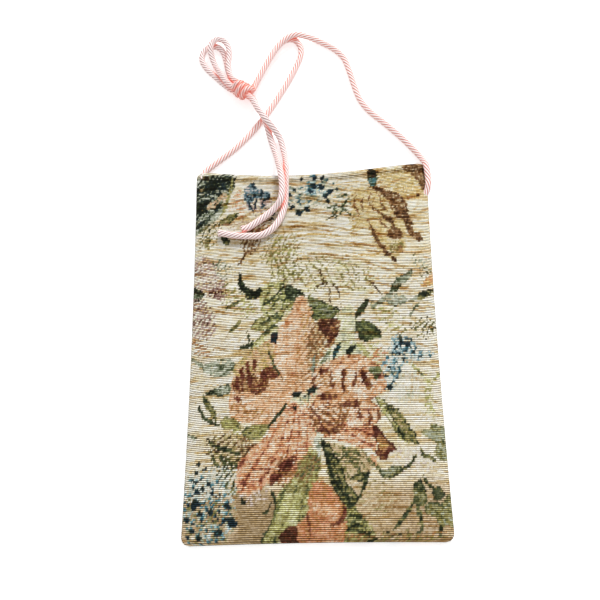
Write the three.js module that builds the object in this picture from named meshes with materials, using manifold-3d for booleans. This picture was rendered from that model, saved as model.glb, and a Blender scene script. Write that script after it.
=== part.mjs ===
// A flat shoulder bag of floral tapestry cloth, with a lining and two twisted cords tied into one strap.
// Millimetres, +Z up. The bag lies on its back on the table, Z = 0: X runs across it, Y towards its mouth.
import * as THREE from 'three';
import { mergeVertices } from 'three/addons/utils/BufferGeometryUtils.js';
import Module from 'manifold-3d';

// The bag
const BAG_WIDTH = 178;
const BAG_HEIGHT = 280;
const CLOTH = 1.2;
const LINING = 0.4;
const POCKET_DEPTH = 6;
const SEAM_HEIGHT = 3;
const CLEARANCE = 0.3;

// The outline: rounded corners, sides drawn in at the waist, a mouth that dips
const BOTTOM_CORNER_RADIUS = 6;
const MOUTH_CORNER_RADIUS = 4;
const SIDE_WAIST = 1.6;
const BOTTOM_BOW = 0.9;
const MOUTH_DIP = 8.5;
const MOUTH_LEAN = 0.2;
const MOUTH_DIP_REACH = 90;

// The section: how the cloth rolls over at the seams, and how the mouth settles
const BACK_EDGE_ROLL = 8;
const SIDE_FULLNESS = 3;
const EDGE_ROUNDNESS = 2.2;
const BOTTOM_FILL_REACH = 60;
const MOUTH_SETTLE = 0.8;

// The cloth's relief: ridges of three woven ribs each, crosswise puckers and the turned edge at the mouth
const WOVEN_RIBS = 216;
const RIBS_PER_RIDGE = 3;
const RIDGE_HEIGHT = 0.35;
const PUCKER_PITCH = 15;
const PUCKER_HEIGHT = 0.45;
const PUCKER_SWAY = 6;
const PUCKER_SWAY_WIDTH = 140;
const PUCKER_START = 56;
const PUCKER_FULL = 196;
const HEM_DEPTH = 4.5;
const HEM_RISE = 0.7;
const HEM_CREASE = 0.4;

// The lining is cut a little smaller than the cloth and stops short of the mouth
const LINING_EASE = 2;
const LINING_DROP = 3;
const LINING_EDGE = 0.1;

// The cords and their knot
const CORD_DIAMETER = 5;
const KNOT_X = -52.8;
const KNOT_Y = 212.5;
const KNOT_LENGTH = 15;
const KNOT_WIDTH = 14.4;
const KNOT_HEIGHT = 16;
const KNOT_WRAPS = 3;
const KNOT_WRAP_GROOVE = 1.1;
const KNOT_TURN = -35;

// Facets
const SHEET_COLUMNS = 10;
const PLAIN_ROWS = 18;
const CORD_SIDES = 10;
const CORD_STEP = 10;
const LOOP_STEP = 8.5;
const KNOT_SIDES = 20;
const KNOT_STEPS_PER_WRAP = 4;
const WELD = 1e-4;

const RIDGES = Math.round(WOVEN_RIBS / RIBS_PER_RIDGE);
const RIDGE_PITCH = BAG_HEIGHT / RIDGES;
const FULL_DEPTH = POCKET_DEPTH + 2 * (CLOTH + CLEARANCE + LINING);
const CORD_RADIUS = CORD_DIAMETER / 2;
const OUTSIDE = { depth: 0, inset: 0, drop: 0 };
const INSIDE = { depth: CLOTH, inset: CLOTH, drop: 0 };

const wasm = await Module();
wasm.setup();

const tapestry = new THREE.MeshStandardMaterial({ color: 0xc9b48c, roughness: 0.85, metalness: 0 });
const backTapestry = new THREE.MeshStandardMaterial({ color: 0xbfa982, roughness: 0.88, metalness: 0 });
const liningCotton = new THREE.MeshStandardMaterial({ color: 0xe6dcc4, roughness: 0.9, metalness: 0 });

function satin(color) {
  return new THREE.MeshStandardMaterial({ color, roughness: 0.38, metalness: 0 });
}

function smoothStep(low, high, value) {
  return THREE.MathUtils.smoothstep(value, low, high);
}

// How far a rounded corner eats into the width at a distance from the edge that it ends on
function cornerInset(radius, fromEdge) {
  const left = THREE.MathUtils.clamp(radius - fromEdge, 0, radius);
  return radius - Math.sqrt(radius ** 2 - left ** 2);
}

function halfWidth(aboveBottom, belowMouth) {
  const fromMiddle = (aboveBottom - belowMouth) / (aboveBottom + belowMouth);
  const bottomCorner = cornerInset(BOTTOM_CORNER_RADIUS, aboveBottom);
  const mouthCorner = cornerInset(MOUTH_CORNER_RADIUS, belowMouth);
  return BAG_WIDTH / 2 - SIDE_WAIST * (1 - fromMiddle ** 2) - bottomCorner - mouthCorner;
}

function mouthDip(across) {
  return MOUTH_DIP * (1 - across ** 2) * (1 - MOUTH_LEAN * across);
}

// 0 at the seams and 1 over the full middle: the puffed front
function frontCrown(across, aboveBottom) {
  const side = (1 - Math.abs(across) ** SIDE_FULLNESS) ** (1 / EDGE_ROUNDNESS);
  const short = Math.max(0, 1 - aboveBottom / BOTTOM_FILL_REACH);
  const bottom = (1 - short ** SIDE_FULLNESS) ** (1 / EDGE_ROUNDNESS);
  const settle = MOUTH_SETTLE * smoothStep(BAG_HEIGHT - BOTTOM_FILL_REACH, BAG_HEIGHT, aboveBottom);
  return side * bottom * (1 - settle / (FULL_DEPTH - SEAM_HEIGHT));
}

// 0 at the seams and 1 where the back lies flat on the table
function backFlatness(across, aboveBottom) {
  const quarterRound = (distance) => {
    const left = Math.max(0, 1 - distance / BACK_EDGE_ROLL);
    return Math.sqrt(1 - left ** 2);
  };
  return quarterRound((BAG_WIDTH / 2) * (1 - Math.abs(across))) * quarterRound(aboveBottom);
}

// A point of one skin of the bag. across runs from -1 to 1 between the side seams, rise from 0 at the bottom
// to 1 at the mouth. A skin lies depth under the outer face and inset within its outline, and it stops drop
// short of the mouth.
function skinPoint(across, rise, front, rim, { depth, inset, drop }) {
  const reach = BAG_HEIGHT - inset - drop;
  const aboveEdge = rise * reach;
  const dipping = smoothStep(BAG_HEIGHT - MOUTH_DIP_REACH, BAG_HEIGHT, aboveEdge + inset + drop);
  const bow = BOTTOM_BOW * (1 - across ** 2) * (1 - rise);
  const y = -BAG_HEIGHT / 2 + inset + aboveEdge + bow - mouthDip(across) * dipping;
  const x = across * (halfWidth(aboveEdge, BAG_HEIGHT - inset - aboveEdge) - inset);
  const z = front
    ? rim + (FULL_DEPTH - depth - rim) * frontCrown(across, aboveEdge)
    : rim - (rim - depth) * backFlatness(across, aboveEdge);
  return new THREE.Vector3(x, y, z);
}

// Ridges, puckers and the turned edge, measured up from the smooth front
function frontRelief(across, rise) {
  const aboveBottom = rise * BAG_HEIGHT;
  const belowMouth = BAG_HEIGHT - aboveBottom;
  const inFromSeams = frontCrown(across, aboveBottom);
  const ridge = (RIDGE_HEIGHT / 2) * (1 - Math.cos(2 * Math.PI * RIDGES * rise));
  const sway = PUCKER_SWAY * Math.sin((Math.PI * (across * BAG_WIDTH + aboveBottom)) / PUCKER_SWAY_WIDTH);
  const wave = Math.sin((2 * Math.PI * (aboveBottom + sway)) / PUCKER_PITCH);
  const pucker = PUCKER_HEIGHT * wave * smoothStep(PUCKER_START, PUCKER_FULL, aboveBottom);
  if (belowMouth < HEM_DEPTH) {
    return HEM_RISE * Math.sin((Math.PI * belowMouth) / HEM_DEPTH) * inFromSeams;
  }
  const crease = HEM_CREASE * (1 - smoothStep(HEM_DEPTH, HEM_DEPTH + RIDGE_PITCH, belowMouth));
  return (ridge + pucker - crease) * inFromSeams;
}

// Rows of a sheet from its bottom edge (0) to its mouth (1): evenly spaced, or closer together at both ends
const evenRows = (share) => share;
const endRows = (share) => (1 - Math.cos(Math.PI * share)) / 2;

// A closed sheet: a box whose top and bottom faces take the places of two skins
function sheet(rows, spread, topPoint, bottomPoint) {
  const geometry = new THREE.BoxGeometry(2, 1, 1, SHEET_COLUMNS, rows, 1);
  const position = geometry.attributes.position;
  for (let i = 0; i < position.count; i += 1) {
    const across = Math.sin((Math.PI / 2) * position.getX(i));
    const rise = spread(position.getY(i) + 0.5);
    const point = position.getZ(i) > 0 ? topPoint(across, rise) : bottomPoint(across, rise);
    position.setXYZ(i, point.x, point.y, point.z);
  }
  geometry.computeVertexNormals();
  return geometry;
}

function frontPanel() {
  const rim = SEAM_HEIGHT + CLEARANCE / 2;
  const outside = (across, rise) => {
    const point = skinPoint(across, rise, true, rim, OUTSIDE);
    point.z += frontRelief(across, rise);
    return point;
  };
  const inside = (across, rise) => skinPoint(across, rise, true, rim, INSIDE);
  return sheet(2 * RIDGES, evenRows, outside, inside);
}

function backPanel() {
  const rim = SEAM_HEIGHT - CLEARANCE / 2;
  const inside = (across, rise) => skinPoint(across, rise, false, rim, INSIDE);
  const outside = (across, rise) => skinPoint(across, rise, false, rim, OUTSIDE);
  return sheet(PLAIN_ROWS, endRows, inside, outside);
}

function toSolid(geometry) {
  const bare = geometry.clone();
  bare.deleteAttribute('normal');
  bare.deleteAttribute('uv');
  const merged = mergeVertices(bare, WELD);
  const mesh = new wasm.Mesh({
    numProp: 3,
    vertProperties: new Float32Array(merged.attributes.position.array),
    triVerts: new Uint32Array(merged.index.array),
  });
  return new wasm.Manifold(mesh);
}

function toGeometry(solid) {
  const mesh = solid.getMesh();
  const geometry = new THREE.BufferGeometry();
  geometry.setAttribute('position', new THREE.BufferAttribute(mesh.vertProperties, 3));
  geometry.setIndex(new THREE.BufferAttribute(mesh.triVerts, 1));
  geometry.computeVertexNormals();
  return geometry;
}

// The lining is a thin bag inside the panels: a pillow less a smaller pillow that runs out of its mouth
function lining() {
  const pillow = (depth, drop) => {
    const skin = { depth, inset: depth + LINING_EASE, drop };
    const front = (across, rise) => skinPoint(across, rise, true, SEAM_HEIGHT + LINING_EDGE, skin);
    const back = (across, rise) => skinPoint(across, rise, false, SEAM_HEIGHT - LINING_EDGE, skin);
    return toSolid(sheet(PLAIN_ROWS, endRows, front, back));
  };
  const body = pillow(CLOTH + CLEARANCE, LINING_DROP);
  const hollow = pillow(CLOTH + CLEARANCE + LINING, LINING_DROP - CLEARANCE);
  return toGeometry(body.subtract(hollow));
}

// Height of a cord's centre line where it lies on the front of the bag
function overFront(x, y) {
  const rim = SEAM_HEIGHT + CLEARANCE / 2;
  const aboveBottom = y + BAG_HEIGHT / 2;
  const across = x / halfWidth(aboveBottom, BAG_HEIGHT - aboveBottom);
  const crown = frontCrown(across, aboveBottom);
  return rim + (FULL_DEPTH - rim + RIDGE_HEIGHT + PUCKER_HEIGHT) * crown + CLEARANCE + CORD_RADIUS;
}

function cordTube(route, step) {
  const points = route.map(([x, y, z]) => new THREE.Vector3(x, y, z));
  const path = new THREE.CatmullRomCurve3(points, false, 'centripetal');
  const section = new THREE.Shape();
  section.absarc(0, 0, CORD_RADIUS, 0, 2 * Math.PI);
  return new THREE.ExtrudeGeometry(section, {
    steps: Math.round(path.getLength() / step),
    curveSegments: CORD_SIDES / 2,
    extrudePath: path,
  });
}

// The routes, by hand, from the bag to the knot and on to the tails. ON_TABLE is a cord's height on the table
// and ON_CORD its height on another cord.
const ON_TABLE = CORD_RADIUS + CLEARANCE / 2;
const ON_CORD = ON_TABLE + CORD_DIAMETER + CLEARANCE;
const RIGHT_SEAM_CORD = BAG_WIDTH / 2 + CLEARANCE + CORD_RADIUS;

const leftRun = [
  [-82.5, 141.2, ON_TABLE + 0.6],
  [-78.6, 145.4, ON_TABLE + 0.2],
  [-71.4, 151.6, ON_TABLE],
  [-60.6, 160.6, ON_TABLE],
  [-50.8, 170.8, ON_TABLE],
  [-42.4, 181.2, ON_TABLE],
  [-32.4, 196, ON_TABLE],
  [-23.9, 210.9, ON_TABLE],
  [-16.6, 224.5, ON_TABLE],
  [-10.4, 238.3, ON_TABLE],
  [-6.4, 250.2, ON_TABLE],
  [-7.4, 259, ON_TABLE],
  [-12.2, 265.2, ON_TABLE],
  [-18.8, 265.6, ON_TABLE],
  [-25.4, 259.8, ON_TABLE],
  [-33, 246.4, ON_TABLE],
  [-40.2, 230.8, ON_TABLE],
  [-46.7, 216.7, ON_TABLE],
];

const rightRun = [
  [RIGHT_SEAM_CORD, 119, ON_TABLE],
  [RIGHT_SEAM_CORD, 128, ON_TABLE],
  [92.7, 136, ON_TABLE],
  [90.8, 143, ON_TABLE],
  [84.8, 150.4, ON_TABLE],
  [72.8, 165.1, ON_TABLE],
  [59.6, 179, ON_TABLE],
  [47.6, 191.2, ON_TABLE],
  [40.8, 202, ON_TABLE],
  [36.8, 214.4, ON_TABLE],
  [33, 230.2, ON_TABLE],
  [28.6, 244.2, ON_TABLE],
  [21.8, 252.8, ON_TABLE],
  [11.8, 260.4, ON_TABLE],
  [0.6, 265.6, ON_TABLE + 1.6],
  [-9.8, 266.8, ON_CORD - 0.8],
  [-17.6, 263.4, ON_CORD],
  [-24.2, 256.5, ON_CORD],
  [-32.2, 242.5, ON_CORD],
  [-39.4, 227, ON_CORD],
  [-44.5, 215.9, ON_CORD],
];

const leftLoop = [
  [-61, 215, 5.3],
  [-64.6, 217.6, 4.7],
  [-70.4, 223.9, 3.1],
  [-76.4, 230.8, ON_TABLE],
  [-83.6, 238.8, ON_TABLE],
  [-88, 246.2, ON_TABLE],
  [-89.2, 252.6, ON_TABLE],
  [-87.2, 258.6, ON_TABLE],
  [-82.4, 262.6, ON_TABLE],
  [-76.8, 262, ON_TABLE],
  [-72.4, 258, ON_TABLE],
  [-70, 252.6, ON_TABLE],
  [-68.6, 246.6, ON_TABLE],
  [-67.4, 240.4, ON_TABLE],
  [-65.8, 234, ON_TABLE],
  [-64, 228.4, 3.3],
  [-61.6, 222.8, 4.7],
  [-58.2, 219.6, 5.3],
];

const rightLoop = [
  [-61, 215, 10.7],
  [-64.6, 218, 10.5],
  [-69.4, 225.6, 8.9],
  [-73, 233.2, 6.6],
  [-76, 239.4, 4],
  [-78.6, 245.4, 3.6],
  [-80.6, 251, 5.4],
  [-81.4, 256.6, ON_CORD - 0.3],
  [-80.2, 262, ON_CORD],
  [-76.4, 265.4, ON_CORD],
  [-71.4, 264.4, ON_CORD],
  [-67.4, 259.6, ON_CORD],
  [-65.6, 253, ON_CORD],
  [-65.4, 246.4, ON_CORD],
  [-65.8, 239.8, ON_CORD],
  [-65, 233, ON_CORD + 0.2],
  [-63.6, 227.6, ON_CORD + 1],
  [-61.4, 222.8, ON_CORD + 2.2],
  [-58.2, 219.6, 10.7],
];

const leftTail = [
  [-45.9, 207, 5.3],
  [-44, 203.8, 5.6],
  [-41.8, 196.6, 6.9],
  [-38.4, 190.4, ON_CORD],
  [-35.6, 184.6, ON_CORD],
  [-33.6, 178.2, 6],
  [-31.6, 170.6, 3.6],
  [-28.9, 161, 2.9],
  [-26.6, 152.6, 5],
  [-25, 145, 9],
  [-23.6, 138, 13.4],
  [-22.3, 131, 16.6],
  [-21.1, 122.1, 17.8],
  [-20.9, 113.6, 18.2],
  [-22.4, 105.6, 17.6],
  [-27.2, 100.6, 14.4],
  [-34.1, 95.3, overFront(-34.1, 95.3)],
  [-41.5, 89.8, overFront(-41.5, 89.8)],
  [-48, 85.4, overFront(-48, 85.4)],
];

const rightTail = [
  [-47.5, 204.7, 10.7],
  [-44.9, 200.6, 11.6],
  [-41.6, 193.6, 12.9],
  [-38.2, 187.4, 13.5],
  [-34.4, 181.6, 13.2],
  [-31.6, 178.4, 11.4],
  [-27, 173.4, 7.2],
  [-24.2, 169.6, 4.4],
  [-22.4, 165, 3],
  [-21, 158.6, 2.9],
  [-19.6, 151.4, 4.6],
  [-18.8, 144, 8.4],
  [-18.5, 137.5, 11.9],
  [-18.6, 130, overFront(-18.6, 130)],
  [-18.8, 117.6, overFront(-18.8, 117.6)],
  [-19.1, 107.3, overFront(-19.1, 107.3)],
  [-20.6, 98.9, overFront(-20.6, 98.9)],
  [-24.4, 89.9, overFront(-24.4, 89.9)],
  [-29.8, 83.6, overFront(-29.8, 83.6)],
  [-37.2, 79.7, overFront(-37.2, 79.7)],
  [-47.4, 79.5, overFront(-47.4, 79.5)],
  [-56.3, 80.6, overFront(-56.3, 80.6)],
  [-69.2, 83.8, overFront(-69.2, 83.8)],
];

// The knot's outer shape: a barrel with one round ridge for each wrap of cord
function knotBarrel() {
  const steps = KNOT_WRAPS * KNOT_STEPS_PER_WRAP;
  const profile = [new THREE.Vector2(0, -KNOT_LENGTH / 2)];
  for (let i = 0; i <= steps; i += 1) {
    const along = i / steps;
    const bulge = Math.abs(Math.sin(Math.PI * KNOT_WRAPS * along));
    const radius = KNOT_WIDTH / 2 - KNOT_WRAP_GROOVE * (1 - bulge);
    profile.push(new THREE.Vector2(radius, KNOT_LENGTH * (along - 0.5)));
  }
  profile.push(new THREE.Vector2(0, KNOT_LENGTH / 2));
  const barrel = new THREE.LatheGeometry(profile, KNOT_SIDES);
  barrel.scale(1, 1, KNOT_HEIGHT / KNOT_WIDTH);
  barrel.rotateZ(-Math.PI / 2);
  return barrel;
}

const bag = new THREE.Group();

function addPiece(name, geometry, material) {
  const piece = new THREE.Mesh(geometry, material);
  piece.name = name;
  bag.add(piece);
  return piece;
}

addPiece('front_panel', frontPanel(), tapestry);
addPiece('back_panel', backPanel(), backTapestry);
addPiece('lining', lining(), liningCotton);

addPiece('left_cord_run', cordTube(leftRun, CORD_STEP), satin(0xf4b3a8));
addPiece('right_cord_run', cordTube(rightRun, CORD_STEP), satin(0xf6b9ae));
addPiece('left_cord_loop', cordTube(leftLoop, LOOP_STEP), satin(0xf4b3a8));
addPiece('right_cord_loop', cordTube(rightLoop, LOOP_STEP), satin(0xf6b9ae));
addPiece('left_cord_tail', cordTube(leftTail, CORD_STEP), satin(0xf4b3a8));
addPiece('right_cord_tail', cordTube(rightTail, CORD_STEP), satin(0xf6b9ae));

const knot = addPiece('knot', knotBarrel(), satin(0xee9a8c));
knot.position.set(KNOT_X, KNOT_Y, KNOT_HEIGHT / 2);
knot.rotation.z = THREE.MathUtils.degToRad(KNOT_TURN);

export default bag;
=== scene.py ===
"""A flat shoulder bag of ribbed floral tapestry with a strap of two twisted satin cords, laid on a table."""
import math
from types import SimpleNamespace

import bmesh
import bpy
import numpy as np
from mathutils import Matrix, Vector
from mathutils.kdtree import KDTree


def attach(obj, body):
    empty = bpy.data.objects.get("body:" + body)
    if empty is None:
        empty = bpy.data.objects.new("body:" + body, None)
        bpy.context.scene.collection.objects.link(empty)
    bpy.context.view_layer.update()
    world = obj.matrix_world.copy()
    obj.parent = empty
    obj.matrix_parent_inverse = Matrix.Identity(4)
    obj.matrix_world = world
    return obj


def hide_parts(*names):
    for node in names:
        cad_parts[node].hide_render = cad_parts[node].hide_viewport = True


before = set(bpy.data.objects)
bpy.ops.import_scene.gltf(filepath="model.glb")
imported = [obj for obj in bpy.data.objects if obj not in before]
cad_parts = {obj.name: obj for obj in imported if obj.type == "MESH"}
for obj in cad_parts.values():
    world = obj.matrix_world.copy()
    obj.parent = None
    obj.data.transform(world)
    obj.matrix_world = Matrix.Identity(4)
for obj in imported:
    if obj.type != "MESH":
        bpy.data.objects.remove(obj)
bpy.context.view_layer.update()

# Tapestry cloth: a jacquard woven in weft ribs, its flowers drawn by changing the colour of the weft thread.
# It is planned as a weaver's draft, one row for each rib, from simple petals, leaves, stems and berries.
# Places on the cloth are in millimetres from the middle of the panel.
MM = 0.001
BAG_WIDTH = 0.178
BAG_HEIGHT = 0.280
RIBS = 216
STITCH = 1.1
STITCH_SHADE = 0.2
THREAD = 7.0
RIB_START = 40
RAGGED = (1.2, 0.9)
RAGGED_CELL = (1.8, 1.5)
SOFT_EDGE = 5.0
EDGE_COVER = 0.4
FIELD_GRAIN = 1.15
FIELD_CLOUD = 0.5
FIELD_CLOUD_CELL = (7, 5)
PALE_FLECK_FROM = 0.6
DARK_FLECK_TO = 0.3
DARK_FLECK_SHARE = 0.25
FLECK_BALANCE = 0.07
VEIN_RATE = 3
VEIN_WANDER = 3
VEIN_CELL = 11
VEIN_DEPTH = 0.5
VEIN_LIFT = 0.12
RIM_DEPTH = 0.45
HATCH_WANDER = 0.8
HATCH_WANDER_CELL = 6
HATCH_BREAK = 1.6
HATCH_BREAK_CELL = 5
HATCH_FADE = 0.8
HATCH_GRAIN = 1.1
HATCH_SHADE = 0.2
TAPER_POWER = 2.5
STROKE_WOBBLE = 0.5
BERRY_SHINE = 0.15
BERRY_GRAIN = 0.6
BERRY_LEAST = 0.6
BERRY_SPREAD = 0.8
BERRY_LIGHT = 0.9
GROUND_LIGHT = 0.5
GROUND_WAVER = 0.45
GROUND_WAVER_CELL = (30, 2.4)
GROUND_THREAD = 0.85
GROUND_SLOPE_SHADE = 0.9
HIGHER_LIFT = 0.08
UPPER_RIGHT_LIFT = 0.1
RIGHT_MIDDLE_LIFT = 0.16
SIDE_SHADE = 0.08
LIT_CELL = (20, 2.4)
LIT_RANGE = (0.45, 0.8)
LIT_SHARE = 0.7
STREAK_CELL = (24, 1.3)
STREAK_RANGE = (0.66, 0.86)
STREAK_SHADE_TINT = (0.80, 0.71, 0.55)
SUNNY_TINT = (1.0, 0.97, 0.91)
LOWER_TINT = (0.75, 0.67, 0.58)
CREASE_SHADE_TINT = (0.76, 0.62, 0.45)
CREASE_SLOPE = 0.1
CREASE_GRAIN = 0.1
CREASE_REACH = 0.2
PUCKER_STEP = 0.0006
HEM_CREASE_SHADE = (0.80, 0.79, 0.77)
HEM_BAND = (0.0036, 0.0062)
HEM_FADE = 0.001
THREADS = {
    "ivory": (250, 239, 208),
    "pearl": (225, 211, 179),
    "cream": (236, 218, 174),
    "straw": (220, 199, 150),
    "tan": (188, 160, 116),
    "dun": (148, 122, 84),
    "rust": (164, 108, 58),
    "ochre": (198, 160, 88),
    "gold": (212, 184, 118),
    "brown": (112, 78, 44),
    "bark": (62, 40, 22),
    "burgundy": (92, 44, 30),
    "wine": (58, 26, 17),
    "coral": (184, 108, 70),
    "apricot": (203, 135, 88),
    "peach": (222, 167, 122),
    "blush": (242, 208, 176),
    "lime": (168, 166, 92),
    "celery": (204, 204, 150),
    "moss": (104, 108, 56),
    "olive": (124, 116, 62),
    "forest": (54, 62, 37),
    "pine": (22, 27, 17),
    "sage": (146, 152, 126),
    "mist": (196, 202, 180),
    "slate": (90, 118, 126),
    "teal": (54, 104, 114),
    "navy": (22, 35, 42),
    "sky": (164, 198, 202),
    "mauve": (154, 124, 112),
    "lilac": (208, 187, 175),
}
GROUND = "tan gold straw cream cream ivory"
PALE_GROUND = "tan straw straw pearl pearl ivory"
PETAL = "rust apricot peach peach blush"
PINK_PETAL = "burgundy coral apricot peach blush"
SHADE = "wine burgundy burgundy brown rust"
RUFFLE = "burgundy rust apricot peach blush"
TULIP = "brown ochre gold gold straw"
BARK = "bark bark brown brown tan"
PALE_LEAF = "forest olive lime celery cream"
GREEN_LEAF = "pine forest moss lime celery"
DARK_LEAF = "pine pine forest forest sage"
OLIVE_LEAF = "pine forest olive olive tan"
SAGE_LEAF = "forest sage sage mist straw"
NAVY_BLOOM = "navy navy pine teal sage"
NIGHT_BLOOM = "pine pine navy forest sage mist"
MAUVE = "bark mauve mauve lilac cream"


def lattice(column, row, seed):
    """A repeatable number from 0 to 1 for each cell: the far digits of a sine, as shaders make it."""
    mixed = np.sin(column * 127.1 + row * 311.7 + seed * 74.7) * 43758.5453
    return mixed - np.floor(mixed)


def smooth_step(low, high, value):
    """0 at low, 1 at high, and an easy curve between them."""
    t = np.clip((value - low) / (high - low), 0, 1)
    return t * t * (3 - 2 * t)


def soft_noise(x, y, seed):
    """Smooth noise from 0 to 1 with cells of one unit."""
    left, low = np.floor(x), np.floor(y)
    across, up = smooth_step(0, 1, x - left), smooth_step(0, 1, y - low)
    bottom = lattice(left, low, seed) * (1 - across) + lattice(left + 1, low, seed) * across
    top = lattice(left, low + 1, seed) * (1 - across) + lattice(left + 1, low + 1, seed) * across
    return bottom * (1 - up) + top * up


def smooth_line(points, closed, steps=6):
    """A centripetal Catmull-Rom line through a few points."""
    places = np.array(points, float)
    if closed:
        padded = np.vstack([places[-1:], places, places[:2]])
    else:
        padded = np.vstack([2 * places[:1] - places[1:2], places, 2 * places[-1:] - places[-2:-1]])
    spans = np.linalg.norm(np.diff(padded, axis=0), axis=1) ** 0.5
    knots = np.concatenate([[0], np.cumsum(spans)])
    share = np.linspace(0, 1, steps, endpoint=False)[:, None]
    line = []
    for i in range(1, len(padded) - 2):
        a, b, c, d = padded[i - 1 : i + 3]
        t0, t1, t2, t3 = knots[i - 1 : i + 3]
        t = t1 + share * (t2 - t1)
        ab = a + (b - a) * (t - t0) / (t1 - t0)
        bc = b + (c - b) * share
        cd = c + (d - c) * (t - t2) / (t3 - t2)
        abc = ab + (bc - ab) * (t - t0) / (t2 - t0)
        bcd = bc + (cd - bc) * (t - t1) / (t3 - t1)
        line.append(abc + (bcd - abc) * share)
    if not closed:
        line.append(places[-1:])
    return np.vstack(line)


def along_line(x, y, line):
    """Distance from each point to a line, and how far along the line that is, from 0 to 1."""
    start, step = line[:-1], np.diff(line, axis=0)
    from_x, from_y = x[:, None] - start[:, 0], y[:, None] - start[:, 1]
    squared = np.maximum((step**2).sum(1), 1e-9)
    part = np.clip((from_x * step[:, 0] + from_y * step[:, 1]) / squared, 0, 1)
    away = np.hypot(from_x - part * step[:, 0], from_y - part * step[:, 1])
    nearest = away.argmin(1)
    pick = np.arange(len(x))
    return away[pick, nearest], (nearest + part[pick, nearest]) / len(step)


def in_outline(x, y, line):
    """Which points lie inside a closed line."""
    x0, y0 = line[:, 0], line[:, 1]
    x1, y1 = np.roll(x0, -1), np.roll(y0, -1)
    rise = np.where(y1 == y0, 1e-9, y1 - y0)
    crossing = (y0 > y[:, None]) != (y1 > y[:, None])
    at = x0 + (y[:, None] - y0) * (x1 - x0) / rise
    return (crossing & (x[:, None] < at)).sum(1) % 2 == 1


def lay_threads(cloth, where, tone, palette):
    """Gives each stitch the thread of a palette, dark to light, that its tone calls for."""
    shades = np.array([THREADS[name] for name in palette.split()], float)
    place = np.clip(tone, 0, 1) * (len(shades) - 1)
    for channel in range(3):
        cloth.colour[where, channel] = np.interp(place, np.arange(len(shades)), shades[:, channel])


def tint(cloth, share, colour):
    """Darkens the cloth towards a tint, by a share for each stitch."""
    cloth.colour *= 1 - share[:, None] * (1 - np.array(colour))


def near(cloth, low, high):
    """The stitches in an upright box."""
    inside = (cloth.x > low[0]) & (cloth.x < high[0]) & (cloth.y > low[1]) & (cloth.y < high[1])
    return np.flatnonzero(inside)


def inside_outline(cloth, outline):
    """The stitches inside an outline, and how far each of them is from it."""
    line = smooth_line(outline, True)
    found = near(cloth, line.min(0), line.max(0))
    found = found[in_outline(cloth.x[found], cloth.y[found], line)]
    away, _ = along_line(cloth.x[found], cloth.y[found], np.vstack([line, line[:1]]))
    return found, away


def field(cloth, palette, outline, root=None, veins=5, light=0.55, cover=1.0, rim=1.3):
    """A petal, leaf or patch. Its veins fan out of the root. Cover under 1 lets the ground show through."""
    found, away = inside_outline(cloth, outline)
    if cover < 1:
        thick = EDGE_COVER + (1 - EDGE_COVER) * smooth_step(0, SOFT_EDGE, away)
        kept = cloth.fleck[found] < cover * thick
        found, away = found[kept], away[kept]
    x, y, fleck = cloth.x[found], cloth.y[found], cloth.fleck[found]
    cloud = soft_noise(x / FIELD_CLOUD_CELL[0], y / FIELD_CLOUD_CELL[1], seed=5)
    tone = light + FIELD_GRAIN * (cloth.grain[found] - 0.5) + FIELD_CLOUD * (cloud - 0.5)
    tone += np.clip(fleck - PALE_FLECK_FROM, 0, 1) - FLECK_BALANCE
    tone -= DARK_FLECK_SHARE * np.clip(DARK_FLECK_TO - fleck, 0, 1)
    if root is not None:
        turn = np.arctan2(y - root[1], x - root[0])
        wander = VEIN_WANDER * soft_noise(x / VEIN_CELL, y / VEIN_CELL, seed=3)
        vein = np.sin(veins * VEIN_RATE * turn + wander)
        tone += VEIN_LIFT - VEIN_DEPTH * np.clip(2 * vein - 1, 0, 1)
    if cover == 1 and rim:
        tone -= RIM_DEPTH * np.clip(1 - away / rim, 0, 1)
    lay_threads(cloth, found, tone, palette)


def hatch(cloth, palette, outline, slant, pitch=3.0, light=0.45, cover=0.5):
    """Short slanting stitches over an outline, with the ground between them. The slant is in degrees."""
    found, away = inside_outline(cloth, outline)
    x, y = cloth.x[found], cloth.y[found]
    beside = y * math.cos(math.radians(slant)) - x * math.sin(math.radians(slant))
    wander = HATCH_WANDER * soft_noise(x / HATCH_WANDER_CELL, y / HATCH_WANDER_CELL, seed=7)
    wave = np.sin(2 * math.pi * (beside / pitch + wander))
    broken = soft_noise(x / HATCH_BREAK_CELL, y / HATCH_BREAK_CELL, seed=8) - 0.5
    broken += HATCH_BREAK * (cloth.fleck[found] - 0.5)
    kept = wave + broken - HATCH_FADE * smooth_step(SOFT_EDGE, 0, away) > 1 - 2 * cover
    tone = light + HATCH_GRAIN * (cloth.grain[found] - 0.5) - HATCH_SHADE * wave
    lay_threads(cloth, found[kept], tone[kept], palette)


def stroke(cloth, palette, points, width, light=0.45, taper=0.7):
    """A stem, vein or slender leaf: a line that thins out to its ends."""
    line = smooth_line(points, False)
    found = near(cloth, line.min(0) - width, line.max(0) + width)
    away, part = along_line(cloth.x[found], cloth.y[found], line)
    half = width / 2 * (1 - taper * np.abs(2 * part - 1) ** TAPER_POWER)
    found = found[away < half + STROKE_WOBBLE * (cloth.grain[found] - 0.5)]
    lay_threads(cloth, found, light + cloth.grain[found] - 0.5, palette)


def berries(cloth, palette, places, light=0.25):
    """Round berries, with a painted highlight on their upper left."""
    for x0, y0, radius in places:
        found = near(cloth, (x0 - radius, y0 - radius), (x0 + radius, y0 + radius))
        x, y = cloth.x[found] - x0, cloth.y[found] - y0
        inside = np.hypot(x, y) < radius
        shine = (y[inside] - x[inside]) / radius
        tone = light + BERRY_SHINE * shine + BERRY_GRAIN * (cloth.grain[found[inside]] - 0.5)
        lay_threads(cloth, found[inside], tone, palette)


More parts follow.
